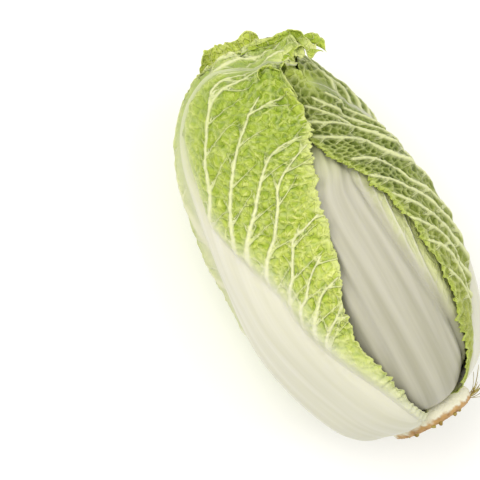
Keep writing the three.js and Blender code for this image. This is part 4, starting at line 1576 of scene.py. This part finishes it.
def start_ball(name: str, segments: int, rings: int) -> tuple[Piece, Array, Array]:
    """Adds a ball to be reshaped along the line between its poles.

    Args:
        name: Its name.
        segments: Its steps round the axis.
        rings: Its steps from pole to pole.

    Returns:
        The ball, and at each vertex the share of the way from pole to pole and the turn in degrees.
    """
    ball = start_piece(
        name, bpy.ops.mesh.primitive_uv_sphere_add, segments=segments, ring_count=rings, radius=1
    )
    # The primitive lists its faces in another order each run, so they are made anew in one order.
    places, faces = vertices(ball), sorted(tuple(face.vertices) for face in ball.data.polygons)
    ball.data.clear_geometry()
    ball.data.from_pydata(places, [], faces)
    x, y, z = places.T
    return ball, np.arccos(np.clip(-z, -1, 1)) / np.pi, np.degrees(np.arctan2(y, x))


def vertices(piece: Piece) -> Array:
    """Reads where a mesh's vertices are.

    Args:
        piece: The mesh's object.

    Returns:
        Their places as rows, in metres.
    """
    flat = np.zeros(len(piece.data.vertices) * 3)
    piece.data.vertices.foreach_get("co", flat)
    return flat.reshape(-1, 3)


def reshape(piece: Piece, places: Array) -> None:
    """Moves a mesh's vertices to new places."""
    piece.data.vertices.foreach_set("co", places.ravel())


def mark(piece: Piece, name: str, values: Array) -> None:
    """Stores a number at each vertex for a finish to read."""
    piece.data.attributes.new(name, "FLOAT", "POINT").data.foreach_set("value", values.astype(np.float32))


def mark_vector(piece: Piece, name: str, values: Array) -> None:
    """Stores a place at each vertex for a finish to read."""
    attribute = piece.data.attributes.new(name, "FLOAT_VECTOR", "POINT")
    attribute.data.foreach_set("vector", values.astype(np.float32).ravel())


# -------------------- finishes


def linear(code: str) -> tuple[float, float, float, float]:
    """An sRGB hex colour as linear red, green, blue and alpha."""
    shares = [int(code[k : k + 2], 16) / 255 for k in (1, 3, 5)]
    return (*(s / 12.92 if s <= 0.04045 else ((s + 0.055) / 1.055) ** 2.4 for s in shares), 1.0)


def add_node(
    tree: bpy.types.NodeTree, kind: str, settings: dict | None = None, **inputs: object
) -> bpy.types.Node:
    """Adds a node.

    Args:
        tree: The material's nodes.
        kind: The node's type, without the word ShaderNode.
        settings: Its properties.
        **inputs: Its sockets by name, with _ for a space or n0, n1 for a place in the list. Each
            is a value, a socket to link from, or a node, which stands for its first output.

    Returns:
        The node.
    """
    node = tree.nodes.new("ShaderNode" + kind)
    for name, value in (settings or {}).items():
        setattr(node, name, value)
    for name, value in inputs.items():
        socket = node.inputs[int(name[1:])] if name[1:].isdigit() else node.inputs[name.replace("_", " ")]
        value = value.outputs[0] if isinstance(value, bpy.types.Node) else value
        if isinstance(value, bpy.types.NodeSocket):
            tree.links.new(value, socket)
        else:
            socket.default_value = value
    return node


RGBA = {"data_type": "RGBA"}
TIMES = {"operation": "MULTIPLY"}
SCALED = {"operation": "SCALE"}
SOFT = {"interpolation_type": "SMOOTHSTEP"}


def fresh_material(name: str) -> tuple[Material, Callable[..., bpy.types.Node]]:
    """Makes an empty node material.

    Args:
        name: What the material is.

    Returns:
        The material, and add_node for its tree.
    """
    material = bpy.data.materials.new(name)
    material.use_nodes = True
    material.node_tree.nodes.clear()
    return material, partial(add_node, material.node_tree)


@dataclass(frozen=True)
class CabbageLeaf:
    """Fresh cabbage leaf: a crisp watery rib and a thin crinkled blade under a waxy skin.

    The eye gets a pale vein net over yellow-green pillows, painted highlight on the pillows and
    painted shade in the creases, a satin skin with soft glints, and light that goes a little way
    into the flesh.
    """

    name: str
    blade: str
    blade_pale: str
    # pillow: painted highlight on the blade's raised places.
    pillow: str
    # crease_shade and crease_shade_pale: painted shade in the blade's low places and beside its veins.
    crease_shade: str
    crease_shade_pale: str
    vein: str
    rib: str
    rib_shade: str
    margin: str
    cell: float = 6.0  # the net of veinlets, in millimetres
    relief: float = 0.0021  # the height of the crinkle in the finish, in metres
    fineness: float = 0.4  # the share of the painted highlight and shade that the finest net gives
    roughness: float = 0.42
    depth: float = 0.0025  # how far light travels in the flesh, in metres

    def make(self) -> Material:
        """Builds the finish.

        Returns:
            The material.
        """
        material, node = fresh_material(self.name)
        marks = {
            name: node("Attribute", {"attribute_name": name}).outputs["Fac"]
            for name in ("rib", "vein", "high", "edge", "green", "line", "near", "bold", "rough")
        }
        flat = node("Attribute", {"attribute_name": "flat"}).outputs["Vector"]
        place = node("TexCoord").outputs["Object"]
        place = node("VectorMath", SCALED, n0=place, Scale=1000.0)
        # Flesh varies in strength over patches of about 20 mm.
        patches = node("TexNoise", Vector=place, Scale=1 / 20, Detail=3.0, Roughness=0.6)
        patch = node("MapRange", n0=patches, n1=0.35, n2=0.65)
        # Bundles of fibre in a rib lie about 7 mm apart and run its whole length.
        stretch = node("VectorMath", TIMES, n0=flat, n1=(0.15, 0.006, 1.0))
        fibres = node("TexNoise", Vector=stretch, Scale=1.0, Detail=3.0, Roughness=0.5)
        fibre = node("MapRange", n0=fibres, n1=0.3, n2=0.7)
        # The net of veinlets has cells of about 6 mm, drawn out along the branches.
        drift = node("TexNoise", Vector=place, Scale=0.13, Detail=3.0, Roughness=0.6)
        centred = node("VectorMath", {"operation": "SUBTRACT"}, n0=drift.outputs["Color"], n1=(0.5, 0.5, 0.5))
        bent = node("VectorMath", SCALED, n0=centred, Scale=9.0)
        path = node("VectorMath", {"operation": "ADD"}, n0=place, n1=bent)
        slanted = node("Mapping", Vector=path, Rotation=(0, 0, math.radians(35)), Scale=(0.8, 1.15, 1))
        wide_net = node("TexVoronoi", {"feature": "DISTANCE_TO_EDGE"}, Vector=slanted, Scale=1 / self.cell)
        wall = node("MapRange", SOFT, n0=wide_net, n1=0.02, n2=0.22, n3=1.0, n4=0.0)
        # Crinkles of about 5 mm stand between them as sharp crests.
        ridged = {"noise_type": "RIDGED_MULTIFRACTAL", "normalize": True}
        crests = node("TexNoise", ridged, Vector=slanted, Scale=1 / 5, Detail=3.0, Roughness=0.5)
        crest = node("MapRange", n0=crests, n1=0.25, n2=0.75)
        crinkle = node("Mix", n0=0.45, n2=wall, n3=crest)
        # A branch vein is drawn by its distance from the vein's middle, crisp beside the mesh.
        off = node("Math", {"operation": "ABSOLUTE"}, n0=marks["line"])
        core = node("MapRange", SOFT, n0=off, n1=0.35, n2=1.45, n3=1.0, n4=0.0)
        gate = node("MapRange", n0=marks["near"], n1=1.5, n2=2.3, n3=1.0, n4=0.0)
        shown = node("Math", TIMES, n0=core, n1=gate)
        branch = node("Math", TIMES, n0=shown, n1=marks["bold"])
        beside = node("MapRange", n0=marks["near"], n1=1.0, n2=3.4, n3=1.0, n4=0.0)
        # The skin's cells, 0.6 mm across, drawn coarser than they are so that they show.
        skin = node("TexNoise", Vector=place, Scale=1.6, Detail=3.0, Roughness=0.6)

        even = node("Mix", n0=marks["rough"], n2=0.5, n3=crinkle)
        level = node("Mix", n0=self.fineness, n2=marks["high"], n3=even)
        # The relief's low places and the crinkle's valleys get painted crease shade; its high places get
        # painted pillow highlight.
        low = node("MapRange", n0=level, n1=0.04, n2=0.44)
        peak = node("MapRange", n0=level, n1=0.5, n2=0.86)
        # Greener and darker towards the crown: partly the leaf's own green, partly painted shade on the
        # crown.
        deep = node("Mix", n0=0.25, n2=marks["green"], n3=patch)
        colour = node("Mix", RGBA, n0=deep, n6=linear(self.blade_pale), n7=linear(self.blade)).outputs[2]
        dark = node("Mix", RGBA, n0=deep, n6=linear(self.crease_shade_pale), n7=linear(self.crease_shade)).outputs[2]
        colour = node("Mix", RGBA, n0=low, n6=dark, n7=colour).outputs[2]
        # Deep green blade gets less of the painted pillow highlight.
        few = node("Math", TIMES, n0=peak, n1=0.3)
        peak = node("MapRange", n0=deep, n3=peak, n4=few)
        # Painted shade beside the veins.
        shade = node("Math", TIMES, n0=beside, n1=0.4)
        shade = node("Math", TIMES, n0=shade, n1=marks["bold"])
        colour = node("Mix", RGBA, n0=shade, n6=colour, n7=dark).outputs[2]
        tones = (
            (peak, self.pillow), (marks["edge"], self.margin),
            (branch, self.vein), (marks["vein"], self.vein),
        )
        for share, tone in tones:
            colour = node("Mix", RGBA, n0=share, n6=colour, n7=linear(tone)).outputs[2]
        white = node("Mix", RGBA, n0=fibre, n6=linear(self.rib_shade), n7=linear(self.rib)).outputs[2]
        colour = node("Mix", RGBA, n0=marks["rib"], n6=colour, n7=white).outputs[2]

        flesh = node("Mix", n0=marks["vein"], n2=even, n3=0.7)
        flesh = node("Mix", n0=shown, n2=flesh, n3=1.0)
        both = node("Mix", n0=marks["rib"], n2=flesh, n3=fibre)
        depth = node("MapRange", n0=marks["rib"], n1=0.0, n2=1.0, n3=self.relief, n4=0.00005)
        bump = node("Bump", Strength=0.8, Distance=depth, Height=both)
        dull = node("MapRange", n0=skin, n1=0.3, n2=0.7, n3=self.roughness - 0.07, n4=self.roughness + 0.1)
        shader = node(
            "BsdfPrincipled", Base_Color=colour, Roughness=dull, Normal=bump,
            IOR=1.42, Specular_IOR_Level=0.32, Subsurface_Weight=0.18, Subsurface_Radius=(1.0, 1.0, 0.35),
            Subsurface_Scale=self.depth,
        )
        node("OutputMaterial", Surface=shader)
        return material


@dataclass(frozen=True)
class HeartLeaf:
    """Blanched heart leaves, pale and moist: yellow-white with a faint green where light reached."""

    name: str = "blanched_heart_leaf"
    pale: str = "#eeecc8"
    yellow: str = "#dfe39b"
    hollow: str = "#b3bf62"
    roughness: float = 0.4

    def make(self) -> Material:
        """Builds the finish.

        Returns:
            The material.
        """
        material, node = fresh_material(self.name)
        fold = node("Attribute", {"attribute_name": "fold"}).outputs["Fac"]
        fresh = node("Attribute", {"attribute_name": "fresh"}).outputs["Fac"]
        place = node("TexCoord").outputs["Object"]
        # Wrinkles of about 6 mm.
        wrinkles = node("TexNoise", Vector=place, Scale=170.0, Detail=4.0)
        deep = node("MapRange", n0=fold, n1=0.75, n2=1.0)
        flesh = node("Mix", RGBA, n0=fresh, n6=linear(self.pale), n7=linear(self.yellow)).outputs[2]
        flesh = node("Mix", RGBA, n0=deep, n6=flesh, n7=linear(self.hollow)).outputs[2]
        bump = node("Bump", Strength=0.5, Distance=0.001, Height=wrinkles)
        dull = node("MapRange", n0=wrinkles, n1=0.3, n2=0.7, n3=self.roughness, n4=self.roughness + 0.14)
        shader = node(
            "BsdfPrincipled", Base_Color=flesh, Roughness=dull, Normal=bump,
            IOR=1.42, Subsurface_Weight=0.2, Subsurface_Radius=(1.0, 1.0, 0.4), Subsurface_Scale=0.003,
        )
        node("OutputMaterial", Surface=shader)
        return material


@dataclass(frozen=True)
class CutStem:
    """Knife-cut stem flesh, dried at its face: greenish white on its side, tan and brown at the cut."""

    name: str = "cut_cabbage_stem"
    flesh: str = "#e9e6cf"
    tan: str = "#c39a5e"
    brown: str = "#7a4c22"
    roughness: float = 0.66

    def make(self) -> Material:
        """Builds the finish.

        Returns:
            The material.
        """
        material, node = fresh_material(self.name)
        cut = node("Attribute", {"attribute_name": "cut"}).outputs["Fac"]
        ring = node("Attribute", {"attribute_name": "ring"}).outputs["Fac"]
        place = node("TexCoord").outputs["Object"]
        # Torn fibre of about 1.5 mm, and drying that varies over about 6 mm.
        fibre = node("TexNoise", Vector=place, Scale=650.0, Detail=4.0)
        drying = node("TexNoise", Vector=place, Scale=160.0, Detail=3.0)
        dried = node("MapRange", n0=drying, n1=0.4, n2=0.66)
        rings = node("Math", TIMES, n0=ring, n1=dried)
        face = node("Mix", RGBA, n0=rings, n6=linear(self.tan), n7=linear(self.brown)).outputs[2]
        colour = node("Mix", RGBA, n0=cut, n6=linear(self.flesh), n7=face).outputs[2]
        bump = node("Bump", Strength=0.7, Distance=0.001, Height=fibre)
        dull = node("MapRange", n0=fibre, n1=0.3, n2=0.7, n3=self.roughness - 0.1, n4=self.roughness + 0.15)
        shader = node(
            "BsdfPrincipled", Base_Color=colour, Roughness=dull, Normal=bump,
            Subsurface_Weight=0.08, Subsurface_Radius=(1.0, 0.9, 0.5), Subsurface_Scale=0.002,
        )
        node("OutputMaterial", Surface=shader)
        return material


@dataclass(frozen=True)
class DriedRoot:
    """Dried root fibre: straw with brown patches, dull."""

    name: str = "dried_root_fibre"
    straw: str = "#b0a254"
    brown: str = "#8d7434"
    roughness: float = 0.78

    def make(self) -> Material:
        """Builds the finish.

        Returns:
            The material.
        """
        material, node = fresh_material(self.name)
        place = node("TexCoord").outputs["Object"]
        # Patches of about 4 mm.
        patches = node("TexNoise", Vector=place, Scale=250.0, Detail=4.0)
        share = node("MapRange", n0=patches, n1=0.4, n2=0.62)
        colour = node("Mix", RGBA, n0=share, n6=linear(self.straw), n7=linear(self.brown)).outputs[2]
        bump = node("Bump", Strength=0.5, Distance=0.0004, Height=patches)
        dull = node("MapRange", n0=patches, n1=0.3, n2=0.7, n3=self.roughness - 0.08, n4=self.roughness + 0.1)
        shader = node("BsdfPrincipled", Base_Color=colour, Roughness=dull, Normal=bump)
        node("OutputMaterial", Surface=shader)
        return material


LEAF_FINISHES: dict[Shade, CabbageLeaf] = {
    Shade.OUTER: CabbageLeaf(
        "fresh_outer_leaf", blade="#86a01c", blade_pale="#bdcb58", pillow="#dce38e", crease_shade="#5f7d0a",
        crease_shade_pale="#94ae2c", vein="#dde0b0", rib="#d9d8c9", rib_shade="#cecdb8", margin="#c8d27e",
    ),
    # The front leaf's rib is darkened as painted shade, and its blade is lightened as painted light.
    Shade.FRONT: CabbageLeaf(
        "cream_front_leaf_painted_light_and_shade", blade="#c3d160", blade_pale="#e0e79a", pillow="#e6ebb0", crease_shade="#9fb348",
        crease_shade_pale="#c3ce7c", vein="#eaebd0", rib="#bebcad", rib_shade="#a8a693", margin="#cdd888",
    ),
    # The shaded leaf's green is darker, partly its own colour and partly painted shade.
    Shade.SHADED: CabbageLeaf(
        "green_side_leaf_painted_shade", blade="#73842e", blade_pale="#a0a94c", pillow="#b6c068", crease_shade="#384a04",
        crease_shade_pale="#8a9a36", vein="#d6dba6", rib="#d8d7c9", rib_shade="#cccbb7", margin="#a8b84e",
    ),
    Shade.INNER: CabbageLeaf(
        "pale_inner_leaf", blade="#aebc50", blade_pale="#bfc966", pillow="#ccd480", crease_shade="#8a9f2c",
        crease_shade_pale="#a8b550", vein="#dee1b8", rib="#e8e6d2", rib_shade="#dcdac0", margin="#b6c455",
    ),
}


# -------------------- the studio


@dataclass(frozen=True)
class Studio:
    """The pale floor, the soft lights and the camera. Places are in millimetres."""

    eye: tuple[float, float, float] = (-1.0, 225.1, 1144.56)
    target: tuple[float, float, float] = (27.40, 50.41, 57.12)
    up: tuple[float, float, float] = (0.866, -0.4895, 0.1013)
    middle: tuple[float, float, float] = (0, 0, 70)  # of the head, which the lights face
    lens: float = 117.86  # the camera's focal length
    floor: float = 12000  # its width
    glow: float = 0.2  # how brightly the floor shines
    sky: float = 0.78  # how brightly the sky shines

    def axes(self) -> tuple[Vector, Vector, Vector]:
        """Works out the picture's directions.

        Returns:
            The picture's right, its up, and the way back to the eye.
        """
        back = (Vector(self.eye) * MM - Vector(self.target) * MM).normalized()
        right = Vector(self.up).cross(back).normalized()
        return right, back.cross(right), back

    def camera(self) -> None:
        """Sets up the camera."""
        data = bpy.data.cameras.new("camera")
        data.lens, data.sensor_width, data.clip_start, data.clip_end = self.lens, 36, 0.01, 100
        camera = bpy.data.objects.new("camera", data)
        turned = Matrix(self.axes()).transposed().to_4x4()
        camera.matrix_world = Matrix.Translation(Vector(self.eye) * MM) @ turned
        bpy.context.collection.objects.link(camera)
        bpy.context.scene.camera = camera

    def light(
        self, name: str, way: tuple[float, float, float], far: float, size: float, power: float, colour: str
    ) -> None:
        """Adds a soft square light aimed at the head.

        Args:
            name: The light's name.
            way: The direction it stands in, in the picture's right, up and towards the eye.
            far: Its distance in metres.
            size: Its width in metres.
            power: Its power in watts.
            colour: Its sRGB hex colour.
        """
        stand = sum((axis * share for axis, share in zip(self.axes(), way)), Vector()).normalized()
        data = bpy.data.lights.new(name, "AREA")
        data.energy, data.size, data.color = power, size, linear(colour)[:3]
        light = bpy.data.objects.new(name, data)
        turned = stand.to_track_quat("Z", "Y").to_matrix().to_4x4()
        light.matrix_world = Matrix.Translation(Vector(self.middle) * MM + stand * far) @ turned
        bpy.context.collection.objects.link(light)

    def build(self) -> None:
        """Adds the floor, the lights, the sky's fill and the camera."""
        floor = start_piece("floor", bpy.ops.mesh.primitive_plane_add, size=self.floor * MM)
        material, node = fresh_material("lit_white_paper")
        # The table is white paper lit from below, which keeps the shadows on it light.
        shader = node(
            "BsdfPrincipled", Base_Color=linear("#e4e4e3"), Roughness=0.75,
            Emission_Color=linear("#ffffff"), Emission_Strength=self.glow,
        )
        node("OutputMaterial", Surface=shader)
        floor.data.materials.append(material)
        bpy.context.scene.view_settings.view_transform = "Standard"
        world = bpy.data.worlds.new("studio")
        world.use_nodes = True
        sky = world.node_tree.nodes["Background"].inputs
        sky["Color"].default_value, sky["Strength"].default_value = linear("#fffefa"), self.sky
        bpy.context.scene.world = world
        self.light("key", (-0.42, 0.36, 1.0), 1.7, 1.2, 17, "#fffaf2")
        self.light("fill", (0.9, 0.3, 0.9), 2.2, 1.6, 12.5, "#fffdf6")
        self.camera()


# -------------------- the head


@dataclass
class NapaCabbage:
    """The whole head, from its stem outwards."""

    form: HeadForm = field(default_factory=HeadForm)

    def dress(self, piece: Piece, material: Material, node: str, slot: str) -> None:
        """Gives a piece its finish and its place in the frame.

        Args:
            piece: The piece.
            material: Its finish.
            node: The CAD node that it stands for.
            slot: Not used.
        """
        piece.data.materials.clear()
        piece.data.materials.append(material)
        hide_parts(node)
        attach(piece, BODY)
        count = sum(len(face.vertices) - 2 for face in piece.data.polygons)
        LOG.info("%s: %d triangles, stands for %s", piece.name, count, node)

    def build(self) -> None:
        """Builds and dresses every piece."""
        layers = Layers(self.form)
        stem = Stem(self.form)
        self.dress(stem.core(), CutStem().make(), "stem", "stem")
        root = DriedRoot().make()
        self.dress(stem.roots(), root, "stem", "stem")
        self.dress(stem.fibres(), root, "stem", "stem")
        self.dress(Heart(layers).build(), HeartLeaf().make(), "heart", "heart")
        finishes = {shade: finish.make() for shade, finish in LEAF_FINISHES.items()}
        for plan in LEAF_PLANS:
            leaf = Leaf(plan, layers)
            fields = leaf.fields()
            dressing = (finishes[plan.shade], plan.name, plan.slot)
            self.dress(leaf.build(fields), *dressing)
            for frill in FRILLS:
                if frill.leaf == plan.name:
                    self.dress(Rim(frill, layers, fields.top).build(), *dressing)


def main() -> None:
    """Loads the frame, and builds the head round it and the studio."""
    logging.basicConfig(level=logging.INFO, format="%(name)s: %(message)s")
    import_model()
    NapaCabbage().build()
    Studio().build()
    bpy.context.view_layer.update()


if __name__ == "__main__":
    main()
